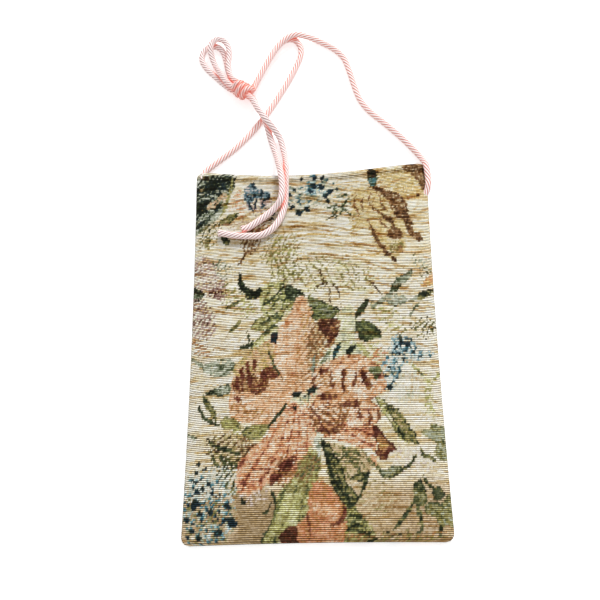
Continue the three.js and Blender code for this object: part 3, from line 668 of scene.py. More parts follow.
def weave_lily(cloth):
    """The large peach lily in the middle, with burgundy folds and a dark green throat."""
    field(cloth, PETAL, [(-7, 32), (-4, 27), (-1, 21), (0, 13), (2, 4), (1, -12), (2, -22), (0, -32),
          (-8, -41), (-16, -37), (-22, -28), (-26, -17), (-26, -4), (-24, 7), (-20, 13), (-16, 18),
          (-13, 26)], root=(-14, -70), veins=14, light=0.62, rim=0)
    field(cloth, "peach blush ivory", [(-28, -9), (-16, -9), (-12, -15), (-21, -19), (-28, -16)], light=0.5,
          cover=0.6)
    hatch(cloth, "brown rust ochre peach", [(-6, 24), (-1, 20), (1, 8), (0, -8), (-4, -20), (-10, -34),
          (-11, -14), (-9, 8)], slant=58, pitch=3.4, light=0.6, cover=0.4)
    hatch(cloth, "brown rust blush ivory", [(-13, -39), (-9, -24), (-2, -14), (3, -20), (1, -32),
          (-8, -41)], slant=50, pitch=3.2, light=0.5, cover=0.55)
    stroke(cloth, "rust coral", [(-20.5, 11), (-17.5, 11.5), (-14.5, 11)], width=2.8)
    stroke(cloth, "rust coral", [(-17, -27.5), (-14.5, -27.5), (-12, -27)], width=2.8)
    field(cloth, "brown rust tan tan peach", [(0, 12), (8, 12), (13, 6), (12, -5), (6, -16), (0, -26),
          (-5, -18), (-3, -2)], root=(-10, -44), veins=14, light=0.55, cover=0.95)
    hatch(cloth, "brown brown rust", [(-4, 8), (3, 11), (9, 12), (14, 6), (13, -5), (7, -14), (1, -20),
          (-5, -8)], slant=58, pitch=3.6, light=0.5, cover=0.42)
    field(cloth, "wine bark burgundy brown rust tan", [(3, 12), (18, 13), (18, 2), (15, -5), (11, -9),
          (9, 0), (4, 6)], root=(-4, -30), veins=13, light=0.38, rim=0)
    field(cloth, PETAL, [(-27, -1), (-36, -4), (-45, -10), (-52, -18), (-56, -26), (-57, -36), (-59, -46),
          (-57, -55), (-48, -60), (-38, -62), (-30, -61), (-23, -53), (-15, -44), (-15, -38), (-21, -29),
          (-26, -20)], root=(-4, -40), veins=14, light=0.6)
    hatch(cloth, "brown rust ochre", [(-59, -47), (-44, -46), (-32, -50), (-30, -60), (-46, -60),
          (-57, -54)], slant=60, pitch=4.2, light=0.6, cover=0.32)
    field(cloth, "olive ochre tan peach", [(-29, -3), (-37, -5), (-46, -11), (-54, -18), (-56, -25),
          (-46, -27), (-36, -24), (-29, -19), (-27, -12)], root=(-18, -44), veins=12, light=0.55)
    field(cloth, "wine burgundy brown rust tan", [(-56, -31), (-50, -26), (-42, -25), (-38, -29),
          (-31, -30), (-32, -36), (-38, -40), (-46, -39), (-55, -38)], root=(-42, -62), veins=8, light=0.48,
          rim=0)
    field(cloth, "brown ochre tan", [(-42, -25), (-36, -25), (-36, -30), (-41, -30)], cover=0.8)
    for fold in ([(-41, -15), (-40.5, -19), (-40, -24)],
                 [(-45.5, -16), (-46, -21), (-45, -27)],
                 [(-50, -21), (-50, -25), (-49, -30)],
                 [(-46, -27), (-44, -33), (-42, -39)],
                 [(-53, -28), (-53, -33), (-52, -38)]):
        stroke(cloth, "wine burgundy brown", fold, width=3)
    field(cloth, SHADE, [(-24, -29), (-24, -24), (-28, -21), (-32, -22), (-37, -26), (-36, -30),
          (-31, -30)], root=(-20, -40), veins=8, light=0.5, rim=0)
    field(cloth, SHADE, [(-32, -31), (-40, -31), (-40, -36), (-36, -39), (-32, -36)], light=0.4, cover=0.9)
    stroke(cloth, SHADE, [(-55, -42), (-52, -44), (-50, -44)], width=3.4, light=0.35)
    stroke(cloth, OLIVE_LEAF, [(-31.5, -9), (-30, -14), (-27, -20), (-22, -30)], width=2.2, light=0.3)
    field(cloth, "pine wine navy", [(-30, 3), (-27, 5), (-25, 3), (-25.5, -4), (-28, -4)], rim=0)
    field(cloth, PINK_PETAL, [(-7, -47), (-14, -46), (-22, -53), (-29, -62), (-35, -72), (-43, -79),
          (-51, -87), (-53, -97), (-51, -107), (-44, -109), (-36, -105), (-28, -100), (-18, -102),
          (-12, -90), (-4, -80), (1, -70), (-1, -58)], root=(-8, -34), veins=14, light=0.56, rim=0)
    hatch(cloth, "burgundy brown rust tan", [(-26, -86), (-14, -82), (-10, -92), (-18, -103), (-28, -103)],
          slant=55, pitch=3, light=0.5, cover=0.62)
    field(cloth, SHADE, [(-25, -90), (-20, -86), (-15, -85), (-15, -90), (-19, -96), (-22, -94)],
          root=(0, -70), veins=9, light=0.35, rim=0)
    field(cloth, SHADE, [(-30, -98), (-25, -93), (-22, -95), (-25, -100), (-29, -103)], light=0.35, rim=0)
    weave_rose(cloth)
    field(cloth, "forest sage celery celery ivory", [(-14, -43), (-7, -42), (0, -38), (4, -38), (1, -44),
          (-4, -49), (-11, -49)], root=(-8, -70), veins=9, light=0.6, cover=0.9)
    berries(cloth, NIGHT_BLOOM, [(-13.5, -41.5, 2), (-10.5, -41.5, 1.7), (-3.5, -40, 1.9),
            (-0.5, -38.5, 2.3), (2, -37.5, 1.4), (-13.3, -51, 1.5), (-6, -43, 0.9)])
    stroke(cloth, DARK_LEAF, [(-18, -47), (-24, -55), (-31, -64)], width=2.6, light=0.3)
    stroke(cloth, "forest sage slate", [(0.5, -15), (0, -22), (-1, -29)], width=2.2, light=0.45)
    hatch(cloth, "forest moss sage", [(1, -20), (6, -14), (12, -11), (12, -16), (6, -20)], slant=70,
          pitch=3, light=0.5, cover=0.55)


def weave_rose(cloth):
    """The ruffled petals on the lily's right, full of brown folds, with a burgundy bud below."""
    field(cloth, RUFFLE, [(0, -24), (8, -20), (14, -17), (22, -14), (32, -14), (40, -18), (46, -24),
          (49, -31), (50, -38), (46, -43), (38, -47), (44, -52), (44, -61), (36, -64), (26, -57), (22, -60),
          (16, -70), (5, -70), (-1, -60), (-4, -46), (-2, -32)], root=(-8, -46), veins=14, light=0.64)
    hatch(cloth, "peach blush ivory", [(24, -24), (44, -22), (48, -34), (44, -44), (28, -45)], slant=80,
          pitch=3.4, light=0.7, cover=0.32)
    hatch(cloth, "brown rust tan", [(2, -27), (10, -25), (16, -32), (14, -39), (4, -38), (1, -32)],
          slant=35, pitch=3, light=0.5, cover=0.55)
    hatch(cloth, "burgundy brown rust", [(-5, -50), (8, -47), (20, -48), (22, -54), (16, -68), (3, -69)],
          slant=140, pitch=3.8, light=0.5, cover=0.47)
    dark_folds = (
        [(3, -24), (9, -24), (10, -27), (4, -27)],
        [(3, -42), (9, -41), (15, -42), (16, -44), (10, -46), (4, -45)],
        [(21, -48), (27, -47), (33, -48), (31, -51), (25, -52), (21, -51)],
        [(19, -25), (23, -25), (22, -32), (22, -38), (25, -41), (21, -41), (19, -36), (19, -30)],
        [(33, -25), (35, -26), (38, -31), (40, -36), (38, -40), (35, -36), (33, -31)],
        [(4, -65), (11, -66), (16, -64), (16, -69), (9, -70), (4, -69)],
    )
    for fold in dark_folds:
        field(cloth, "wine burgundy brown rust", fold, root=(10, -90), veins=9, light=0.5, rim=0)
    field(cloth, "burgundy brown rust apricot", [(23, -52), (25, -53), (22, -60), (17, -68), (14, -66),
          (16, -58), (20, -54)], light=0.45, cover=0.9)
    for fold in ([(30, -27), (29, -32), (27, -37)],
                 [(13, -25), (12, -31), (14, -38)],
                 [(-3, -50), (2, -57), (6, -64)],
                 [(2, -29), (0, -33), (1, -38)],
                 [(31, -52), (31, -57), (32, -63)],
                 [(43, -53), (44, -58), (43, -62)],
                 [(37, -54), (38, -58), (37, -63)]):
        stroke(cloth, "wine burgundy brown rust", fold, width=2.4, light=0.4)
    field(cloth, "blush ivory ivory", [(14, -26), (19, -26), (19, -31), (14, -32)], cover=0.9)
    field(cloth, "blush ivory ivory", [(24, -26), (29, -26), (29, -32), (24, -32)], cover=0.8)
    hatch(cloth, "coral peach blush", [(40, -18), (50, -10), (53, -20), (47, -26)], slant=5, pitch=3.2,
          light=0.5, cover=0.4)
    stroke(cloth, "rust apricot peach", [(47, -9), (43, -14), (40, -18)], width=2.2)
    field(cloth, "bark forest moss sage", [(37, -25), (42, -23), (47, -24), (46, -30), (43, -33),
          (40, -29)], light=0.55, rim=0)
    field(cloth, PINK_PETAL, [(26.5, -52), (30, -58), (33, -63), (41, -65), (39.5, -71), (41, -80),
          (34, -80), (26, -77), (16, -73.5), (5, -70.5), (15.5, -69), (23, -60)], root=(2, -58), veins=13,
          light=0.52)
    field(cloth, "peach blush ivory", [(26.5, -52.5), (30, -58), (33, -64), (24, -66), (20, -66),
          (23, -60)], light=0.55, cover=0.75)
    field(cloth, "wine burgundy brown rust", [(40, -65), (44, -66), (47, -71), (51, -76), (55, -80),
          (50, -83), (48, -87), (44, -87), (40, -83), (42, -78), (39.5, -71)], light=0.3)
    field(cloth, "brown rust ochre", [(43, -70), (47, -73), (50, -78), (47, -82), (44, -80), (42, -75)],
          light=0.3, rim=0)


def weave_under_lily(cloth):
    """The broad pale blade, the dark slender leaves and the peach bud below the lily."""
    field(cloth, "forest olive tan tan tan", [(8, -75), (16, -77), (30, -81), (38, -90), (36, -96),
          (28, -98), (20, -101), (13, -92)], root=(4, -66), veins=10, light=0.5, rim=0)
    hatch(cloth, "forest olive tan", [(14, -77), (30, -81), (38, -90), (30, -97), (18, -92)], slant=140,
          pitch=4.2, light=0.4, cover=0.3)
    field(cloth, "forest olive olive lime celery", [(-11, -82), (2, -80), (4, -90), (1, -101), (-4, -112),
          (-6, -121), (-13, -128), (-22, -136), (-25, -139), (-36, -139), (-30, -129), (-26, -120),
          (-25, -110), (-20, -101), (-14, -91)], root=(8, -58), veins=18, light=0.46, rim=0)
    field(cloth, "olive lime celery", [(-24, -108), (-6, -110), (-7, -121), (-14, -128), (-24, -136),
          (-34, -138), (-28, -125)], root=(8, -58), veins=18, light=0.55, cover=0.7, rim=0)
    hatch(cloth, "brown olive ochre", [(-12, -83), (2, -80), (4, -88), (1, -98), (-6, -106), (-16, -98)],
          slant=60, pitch=3.2, light=0.45, cover=0.6)
    stroke(cloth, "forest moss olive", [(-20, -104), (-24, -116), (-29, -130)], width=1.6, light=0.4)
    stroke(cloth, DARK_LEAF, [(-29, -106), (-26, -113), (-27, -121)], width=1.8)
    stroke(cloth, DARK_LEAF, [(-29, -114), (-31, -118), (-34, -121)], width=1.6)
    stroke(cloth, DARK_LEAF, [(-29, -126), (-32, -132), (-36, -139)], width=1.8)
    stroke(cloth, "forest mist celery", [(0, -66), (2, -74), (3, -84)], width=3.8, light=0.5)
    field(cloth, OLIVE_LEAF, [(4, -72), (8, -74), (13, -82), (17, -91), (21, -101), (28, -113), (25, -117),
          (18, -115), (12, -106), (8, -97), (7, -86)], root=(0, -52), veins=22, light=0.22)
    stroke(cloth, DARK_LEAF, [(6, -74), (9, -88), (14, -102), (22, -114)], width=2.6, light=0.3)
    field(cloth, OLIVE_LEAF, [(36, -95), (30, -96), (24, -99), (29, -102), (34, -101)], light=0.25)
    stroke(cloth, OLIVE_LEAF, [(35, -98), (32, -105), (28, -113)], width=2.6, light=0.2)
    field(cloth, "rust coral apricot peach", [(-1, -102), (5, -101), (11, -106), (17, -116), (19, -126),
          (17, -139), (-20, -139), (-20, -134), (-11, -128), (-5, -121), (-5, -112), (-3, -106)],
          root=(6, -160), veins=16, light=0.33)
    field(cloth, "apricot peach blush blush", [(-3, -116), (8, -114), (16, -117), (14, -124), (2, -123)],
          light=0.5, cover=0.8, rim=0)
    stroke(cloth, SHADE, [(18, -115), (19, -121), (15, -127), (8, -129)], width=2.6)
    stroke(cloth, SHADE, [(-6, -121), (-4, -129), (-4, -140)], width=1.9)
    field(cloth, "wine bark burgundy brown", [(-23, -133), (-19, -130), (-14, -129), (-13, -140),
          (-23, -140)], light=0.35)


def woven_draft(columns, shift_x, shift_y, mirror):
    """The colour of every stitch on a panel, rib by rib, as written on the screen, from 0 to 255, with
    painted shade on the puckers and in the hem crease.
    """
    rib, column = np.mgrid[0:RIBS, 0:columns]
    rib, column = rib.ravel(), column.ravel()
    across = 2 * column / (columns - 1) - 1
    rise = (rib + 0.5) / RIBS
    laid = skin(across, rise, True) / MM
    repeat = BAG_HEIGHT / MM
    x = (laid[:, 0] + lattice(rib, 0, seed=21) - 0.5) * mirror + shift_x
    y = (laid[:, 1] + shift_y + repeat / 2) % repeat - repeat / 2
    x = x + RAGGED[0] * (soft_noise(x / RAGGED_CELL[0], rib, seed=27) - 0.5)
    y = y + RAGGED[1] * (soft_noise(x / RAGGED_CELL[1], rib, seed=28) - 0.5)
    start = x + RIB_START * lattice(rib, 0, seed=22)
    stitch = soft_noise(start / STITCH, rib, seed=23)
    thread = soft_noise(start / THREAD, rib, seed=24)
    above = rise * BAG_HEIGHT
    climb = puckers(across, above + PUCKER_STEP) - puckers(across, above - PUCKER_STEP)
    slope = climb / (2 * PUCKER_STEP)
    cloth = SimpleNamespace(x=x, y=y, slope=slope, thread=thread, grain=(stitch + thread) / 2,
                            fleck=lattice(column, rib, seed=25), colour=np.zeros((len(x), 3)))
    for weave in (weave_ground, weave_top_left, weave_top_middle, weave_tulip, weave_left_edge,
                  weave_foliage, weave_right_sprays, weave_lower_right, weave_lower_left,
                  weave_under_lily, weave_lily):
        weave(cloth)
    shade = soft_noise(start / STITCH, rib, seed=26) - 0.5
    cloth.colour *= (1 + STITCH_SHADE * shade)[:, None]
    # Painted shade: stitches on pucker slopes that face away from the light are darkened to a warm brown.
    crease_shade = (slope - CREASE_SLOPE + CREASE_GRAIN * (cloth.grain - 0.5)) / CREASE_REACH
    tint(cloth, np.clip(crease_shade, 0, 1), CREASE_SHADE_TINT)
    # Painted shade: a greyer band along the crease under the turned hem.
    below_mouth = BAG_HEIGHT - above
    pressed_shading = smooth_step(HEM_BAND[0] - HEM_FADE, HEM_BAND[0], below_mouth)
    pressed_shading *= smooth_step(HEM_BAND[1] + HEM_FADE, HEM_BAND[1], below_mouth)
    tint(cloth, pressed_shading, HEM_CREASE_SHADE)
    return np.clip(cloth.colour, 0, 255).reshape(RIBS, columns, 3)


# Front panel: one cut of the tapestry, 178 by 280 mm, sewn to the back along its sides and bottom.
# It is puffed over the pocket and puckered crosswise in its upper half.
# Its mouth edge is turned and pressed.
CLOTH = 0.0012
SEAM_HEIGHT = 0.003
SEAM_GAP = 0.0003
FULL_DEPTH = 0.0098
BOTTOM_CORNER = 0.006
MOUTH_CORNER = 0.004
SIDE_WAIST = 0.0016
BOTTOM_BOW = 0.0009
MOUTH_DIP = 0.0085
MOUTH_LEAN = 0.2
MOUTH_DIP_REACH = 0.090
SIDE_FULLNESS = 3
EDGE_ROUNDNESS = 2.2
BOTTOM_FILL_REACH = 0.060
MOUTH_SETTLE = 0.0008
BACK_EDGE_ROLL = 0.008
RIB_HEIGHT = 0.00022
PUCKER_HEIGHT = 0.0003
PUCKER_PITCH = 0.015
PUCKER_SWAY = 0.006
PUCKER_SWAY_WIDTH = 0.140
PUCKER_START = 0.056
PUCKER_FULL = 0.196
CRINKLE_CELL = (0.022, 0.0024)
CRINKLE_FINER = (2.1, 1.7)
CRINKLE_LEAST = 0.0002
CRINKLE_GAIN = 0.0006
ROWS_PER_RIB = 2
FRONT_COLUMNS = 210
EDGE_CROWDING = 0.12
LIP_ROWS = 10
INNER_SHARE = 10
HEM_DEPTH = 0.0045
HEM_RISE = 0.0007
HEM_CREASE = 0.0004
# The gap tint is partly the colour of the warp and partly painted shade between the ribs.
GAP_TINT = (0.075, 0.042, 0.018, 1)
GAP_HUMP = (0.88, 0.42)
GAP_BREAK = 0.15
GAP_SCALE = 7.0
GAP_STAGGER = 0.917
GAP_RANGE = (0.4, 0.6)
GAP_LEAST = 0.7
GLINT_SCALE = 24.0
GLINT_ROUGHNESS = 0.65
GLINT_STAGGER = 0.731
GLINT_RANGE = (0.43, 0.57)
GLINT_SHARE = 0.5
STITCHES = 150.0
FLECK_SHARE = 1.0
CREST_SHARE = 0.62
LIVELY_SHARE = 0.75
CLOTH_ROUGHNESS = 0.8
CLOTH_GLOSS = -0.2
CLOTH_SPECULAR = 0.06
BUMP_STRENGTH = 0.7
BUMP_HEIGHT = 0.0005


def corner_inset(radius, from_edge):
    """How far a rounded corner draws the side in, at a distance from the edge that it ends at."""
    left = np.clip(radius - from_edge, 0, radius)
    return radius - np.sqrt(radius**2 - left**2)


def half_width(above_bottom, below_mouth):
    """From the middle to the side seam, with the waist and the rounded corners taken off."""
    from_middle = (above_bottom - below_mouth) / (above_bottom + below_mouth)
    corners = corner_inset(BOTTOM_CORNER, above_bottom) + corner_inset(MOUTH_CORNER, below_mouth)
    return BAG_WIDTH / 2 - SIDE_WAIST * (1 - from_middle**2) - corners


def front_crown(across, above_bottom):
    """0 at the seams and 1 over the full middle."""
    side = np.maximum(0, 1 - np.abs(across) ** SIDE_FULLNESS) ** (1 / EDGE_ROUNDNESS)
    short = np.clip(1 - above_bottom / BOTTOM_FILL_REACH, 0, 1)
    bottom = (1 - short**SIDE_FULLNESS) ** (1 / EDGE_ROUNDNESS)
    settle = MOUTH_SETTLE * smooth_step(BAG_HEIGHT - BOTTOM_FILL_REACH, BAG_HEIGHT, above_bottom)
    return side * bottom * (1 - settle / (FULL_DEPTH - SEAM_HEIGHT))


def back_flatness(across, above_bottom):
    """0 at the seams and 1 where the back lies flat on the table."""
    flat = 1.0
    for distance in (BAG_WIDTH / 2 * (1 - np.abs(across)), above_bottom):
        flat = flat * np.sqrt(1 - np.clip(1 - distance / BACK_EDGE_ROLL, 0, 1) ** 2)
    return flat


def skin(across, rise, front, depth=0.0, inset=0.0, drop=0.0, rim_gap=SEAM_GAP):
    """Points of one skin: across from -1 to 1 between the seams, rise from 0 to 1 at the mouth."""
    above = rise * (BAG_HEIGHT - inset - drop)
    dipping = smooth_step(BAG_HEIGHT - MOUTH_DIP_REACH, BAG_HEIGHT, above + inset + drop)
    dip = MOUTH_DIP * (1 - across**2) * (1 - MOUTH_LEAN * across) * dipping
    bow = BOTTOM_BOW * (1 - across**2) * (1 - rise)
    y = -BAG_HEIGHT / 2 + inset + above + bow - dip
    x = across * (half_width(above, BAG_HEIGHT - inset - above) - inset)
    if front:
        rim = SEAM_HEIGHT + rim_gap / 2
        z = rim + (FULL_DEPTH - depth - rim) * front_crown(across, above)
    else:
        rim = SEAM_HEIGHT - rim_gap / 2
        z = rim - (rim - depth) * back_flatness(across, above)
    return np.stack([x, y, z], -1)


def rib_profile(rise):
    """A rounded rib, 0 in the gap beside it and 1 on its crest."""
    return np.sin(math.pi * ((rise * RIBS) % 1)) ** 2


def puckers(across, above):
    """Crosswise puckers, strong in the upper half, that sway and break up as pressed cloth does."""
    sway = PUCKER_SWAY * np.sin(math.pi * (across * BAG_WIDTH + above) / PUCKER_SWAY_WIDTH)
    wave = np.sin(2 * math.pi * (above + sway) / PUCKER_PITCH)
    x, y = across * BAG_WIDTH / CRINKLE_CELL[0], (above + sway) / CRINKLE_CELL[1]
    crinkle = soft_noise(x, y, seed=31) - 0.5
    crinkle += (soft_noise(CRINKLE_FINER[0] * x, CRINKLE_FINER[1] * y, seed=32) - 0.5) / 2
    strength = smooth_step(PUCKER_START, PUCKER_FULL, above)
    return PUCKER_HEIGHT * wave * strength + (CRINKLE_LEAST + CRINKLE_GAIN * strength) * crinkle


def front_relief(across, rise):
    """How far the ribs, the puckers and the turned hem stand out of the front."""
    above = rise * BAG_HEIGHT
    below_mouth = BAG_HEIGHT - above
    hem = HEM_RISE * np.sin(math.pi * np.clip(below_mouth / HEM_DEPTH, 0, 1))
    crease = HEM_CREASE * (1 - smooth_step(HEM_DEPTH, 2 * HEM_DEPTH, below_mouth))
    woven = RIB_HEIGHT * rib_profile(rise) + puckers(across, above) - crease
    return np.where(below_mouth < HEM_DEPTH, hem, woven) * front_crown(across, above)


def screen_to_linear(colour):
    """Linear light from a screen colour of 0 to 255, by the standard curve of screens."""
    share = np.asarray(colour, float) / 255
    return np.where(share <= 0.04045, share / 12.92, ((share + 0.055) / 1.055) ** 2.4)


def grid_places(bm):
    """The vertices of a two by two grid as shares: across from -1 to 1 and up from 0 to 1."""
    places = np.array([vert.co[:2] for vert in bm.verts])
    return places[:, 0], (places[:, 1] + 1) / 2


def crowded(across):
    """Shares across a panel, with the columns closer together at its sides, where it curves most."""
    return across * (1 + EDGE_CROWDING - EDGE_CROWDING * across**2)


def move_verts(verts, places):
    for vert, place in zip(verts, places):
        vert.co = place


def take_in(bm, shape):
    """Moves a finished shape into another one."""
    scratch = bpy.data.meshes.new("scratch")
    shape.to_mesh(scratch)
    shape.free()
    bm.from_mesh(scratch)
    bpy.data.meshes.remove(scratch)


def add_object(name, bm, material):
    """An object of a finished shape, shaded smooth."""
    mesh = bpy.data.meshes.new(name)
    bm.to_mesh(mesh)
    bm.free()
    mesh.shade_smooth()
    mesh.materials.append(material)
    piece = bpy.data.objects.new(name, mesh)
    bpy.context.scene.collection.objects.link(piece)
    return piece


def panel_mesh(columns, rib_rows, lip_rows, outer, inner):
    """A closed panel: a fine outer skin, a coarse inner skin, and the narrow edge between them.
    Gives the mesh and, for each outer vertex, its places across and up the cloth."""
    bm = bmesh.new()
    rows = rib_rows + lip_rows
    bmesh.ops.create_grid(bm, x_segments=columns, y_segments=rows, size=1)
    across, up = grid_places(bm)
    across = crowded(across)
    rise = up * rows / rib_rows
    move_verts(bm.verts, outer(across, rise))
    lining_side = bmesh.new()
    inner_columns, inner_rows = columns // INNER_SHARE, rows // INNER_SHARE
    bmesh.ops.create_grid(lining_side, x_segments=inner_columns, y_segments=inner_rows, size=1)
    inner_across, inner_up = grid_places(lining_side)
    move_verts(lining_side.verts, inner(crowded(inner_across), inner_up))
    bmesh.ops.reverse_faces(lining_side, faces=lining_side.faces)
    take_in(bm, lining_side)
    rim = [edge for edge in bm.edges if edge.is_boundary]
    bmesh.ops.bridge_loops(bm, edges=rim)
    bmesh.ops.recalc_face_normals(bm, faces=bm.faces)
    return bm, across, rise


def front_outer(across, rise):
    """The outer face, which rolls over the mouth into the inside past a rise of 1."""
    flat_rise = np.minimum(rise, 1)
    places = skin(across, flat_rise, True)
    places[:, 2] += front_relief(across, flat_rise)
    turn = math.pi * np.clip((rise - 1) / (LIP_ROWS / (RIBS * ROWS_PER_RIB)), 0, 1)
    lip = CLOTH / 2 * front_crown(across, flat_rise)
    places[:, 1] += lip * np.sin(turn)
    places[:, 2] -= lip * (1 - np.cos(turn))
    return places


def front_inner(across, up):
    return skin(across, up, True, depth=CLOTH, inset=CLOTH)


def dye_cloth(piece, draft, across, rise):
    """Puts the draft's colours on the outer vertices, and a UV map that runs with the ribs."""
    mesh = piece.data
    count, columns = len(mesh.vertices), draft.shape[1]
    column = np.rint((across + 1) / 2 * (columns - 1)).astype(int)
    place = np.clip(rise * RIBS - 0.5, 0, RIBS - 1)
    rib = np.minimum(place.astype(int), RIBS - 2)
    part = (place - rib)[:, None]
    colour = np.ones((count, 4))
    colour[:, :3] = screen_to_linear(THREADS["straw"])
    woven = draft[rib, column] * (1 - part) + draft[rib + 1, column] * part
    colour[: len(across), :3] = screen_to_linear(woven)
    mesh.attributes.new("thread_colour", "FLOAT_COLOR", "POINT").data.foreach_set("color", colour.ravel())
    places = np.zeros((count, 2))
    places[: len(across)] = np.stack([(across + 1) / 2, np.minimum(rise, 1)], -1)
    corner_vertex = np.zeros(len(mesh.loops), int)
    mesh.loops.foreach_get("vertex_index", corner_vertex)
    mesh.uv_layers.new(name="cloth").data.foreach_set("uv", places[corner_vertex].ravel())


def node(tree, kind, **settings):
    """A shader node, with settings for its own properties and a dictionary of socket values."""
    made = tree.nodes.new(kind)
    values = settings.pop("values", {})
    for name, value in settings.items():
        setattr(made, name, value)
    for socket, value in values.items():
        made.inputs[socket].default_value = value
    return made


def maths(tree, operation, first, second=None):
    """A Math node on sockets or numbers, and its output."""
    made = node(tree, "ShaderNodeMath", operation=operation)
    for socket, value in zip(made.inputs, (first, second)):
        if isinstance(value, bpy.types.NodeSocket):
            tree.links.new(value, socket)
        elif value is not None:
            socket.default_value = value
    return made.outputs[0]


def mixed_colour(tree, blend, factor, first, second):
    """A colour Mix node, and its output."""
    made = node(tree, "ShaderNodeMix", data_type="RGBA", blend_type=blend, clamp_result=False)
    for socket, value in zip((made.inputs[0], made.inputs[6], made.inputs[7]), (factor, first, second)):
        if isinstance(value, bpy.types.NodeSocket):
            tree.links.new(value, socket)
        else:
            socket.default_value = value
    return made.outputs[2]


def new_material(name):
    """A material, its node tree and its main shader."""
    material = bpy.data.materials.new(name)
    material.use_nodes = True
    return material, material.node_tree, material.node_tree.nodes["Principled BSDF"]


def raise_surface(tree, shader, height, strength, distance):
    """Gives a shader the relief of a height, through a Bump node."""
    bump = node(tree, "ShaderNodeBump", values={"Strength": strength, "Distance": distance})
    tree.links.new(height, bump.inputs["Height"])
    tree.links.new(bump.outputs[0], shader.inputs["Normal"])


def rib_weave_group():
    """Ribs of weft over hidden warp: gaps between the ribs, darkened partly for the warp and partly as
    painted shade, broken painted glints on them, and their height.
    """
    tree = bpy.data.node_groups.new("rib_weave", "ShaderNodeTree")
    tree.interface.new_socket("Cloth", in_out="INPUT", socket_type="NodeSocketVector")
    tree.interface.new_socket("Ribs", in_out="INPUT", socket_type="NodeSocketFloat")
    for name in ("Gap", "Glint", "Height"):
        tree.interface.new_socket(name, in_out="OUTPUT", socket_type="NodeSocketFloat")
    given = node(tree, "NodeGroupInput")
    result = node(tree, "NodeGroupOutput")
    split = node(tree, "ShaderNodeSeparateXYZ")
    tree.links.new(given.outputs["Cloth"], split.inputs[0])
    rows = maths(tree, "MULTIPLY", split.outputs["Y"], given.outputs["Ribs"])
    hump = maths(tree, "SINE", maths(tree, "MULTIPLY", maths(tree, "FRACT", rows), math.pi))
    row = maths(tree, "FLOOR", rows)
    place = node(tree, "ShaderNodeCombineXYZ")
    tree.links.new(split.outputs["X"], place.inputs["X"])
    tree.links.new(maths(tree, "MULTIPLY", row, GLINT_STAGGER), place.inputs["Y"])
    noise = {"Scale": GLINT_SCALE, "Detail": 3.0, "Roughness": GLINT_ROUGHNESS}
    broken = node(tree, "ShaderNodeTexNoise", values=noise)
    tree.links.new(place.outputs[0], broken.inputs["Vector"])
    lit = node(tree, "ShaderNodeMapRange", values={"From Min": GLINT_RANGE[0], "From Max": GLINT_RANGE[1]})
    tree.links.new(broken.outputs["Fac"], lit.inputs["Value"])
    stitch = node(tree, "ShaderNodeCombineXYZ")
    column = maths(tree, "FLOOR", maths(tree, "MULTIPLY", split.outputs["X"], STITCHES))
    tree.links.new(column, stitch.inputs["X"])
    tree.links.new(row, stitch.inputs["Y"])
    fleck = node(tree, "ShaderNodeTexWhiteNoise", noise_dimensions="2D")
    tree.links.new(stitch.outputs[0], fleck.inputs["Vector"])
    sparkle = maths(tree, "MULTIPLY", maths(tree, "SUBTRACT", fleck.outputs["Value"], 0.5), FLECK_SHARE)
    bright = maths(tree, "MULTIPLY", lit.outputs[0], maths(tree, "POWER", hump, 2.0))
    hump_range = {"From Min": GAP_HUMP[0], "From Max": GAP_HUMP[1]}
    gap = node(tree, "ShaderNodeMapRange", interpolation_type="SMOOTHSTEP", values=hump_range)
    tree.links.new(hump, gap.inputs["Value"])
    depth = maths(tree, "SUBTRACT", 1.0, maths(tree, "MULTIPLY", lit.outputs[0], GAP_BREAK))
    between = node(tree, "ShaderNodeCombineXYZ")
    tree.links.new(split.outputs["X"], between.inputs["X"])
    tree.links.new(maths(tree, "MULTIPLY", maths(tree, "ROUND", rows), GAP_STAGGER), between.inputs["Y"])
    uneven = node(tree, "ShaderNodeTexNoise", values={"Scale": GAP_SCALE, "Detail": 2.0})
    tree.links.new(between.outputs[0], uneven.inputs["Vector"])
    gap_range = {"From Min": GAP_RANGE[0], "From Max": GAP_RANGE[1], "To Min": GAP_LEAST}
    opened = node(tree, "ShaderNodeMapRange", values=gap_range)
    tree.links.new(uneven.outputs["Fac"], opened.inputs["Value"])
    deep = maths(tree, "MULTIPLY", depth, opened.outputs[0])
    tree.links.new(maths(tree, "MULTIPLY", gap.outputs[0], deep), result.inputs["Gap"])
    tree.links.new(maths(tree, "ADD", bright, sparkle), result.inputs["Glint"])
    tree.links.new(hump, result.inputs["Height"])
    return tree


RIB_WEAVE = rib_weave_group()


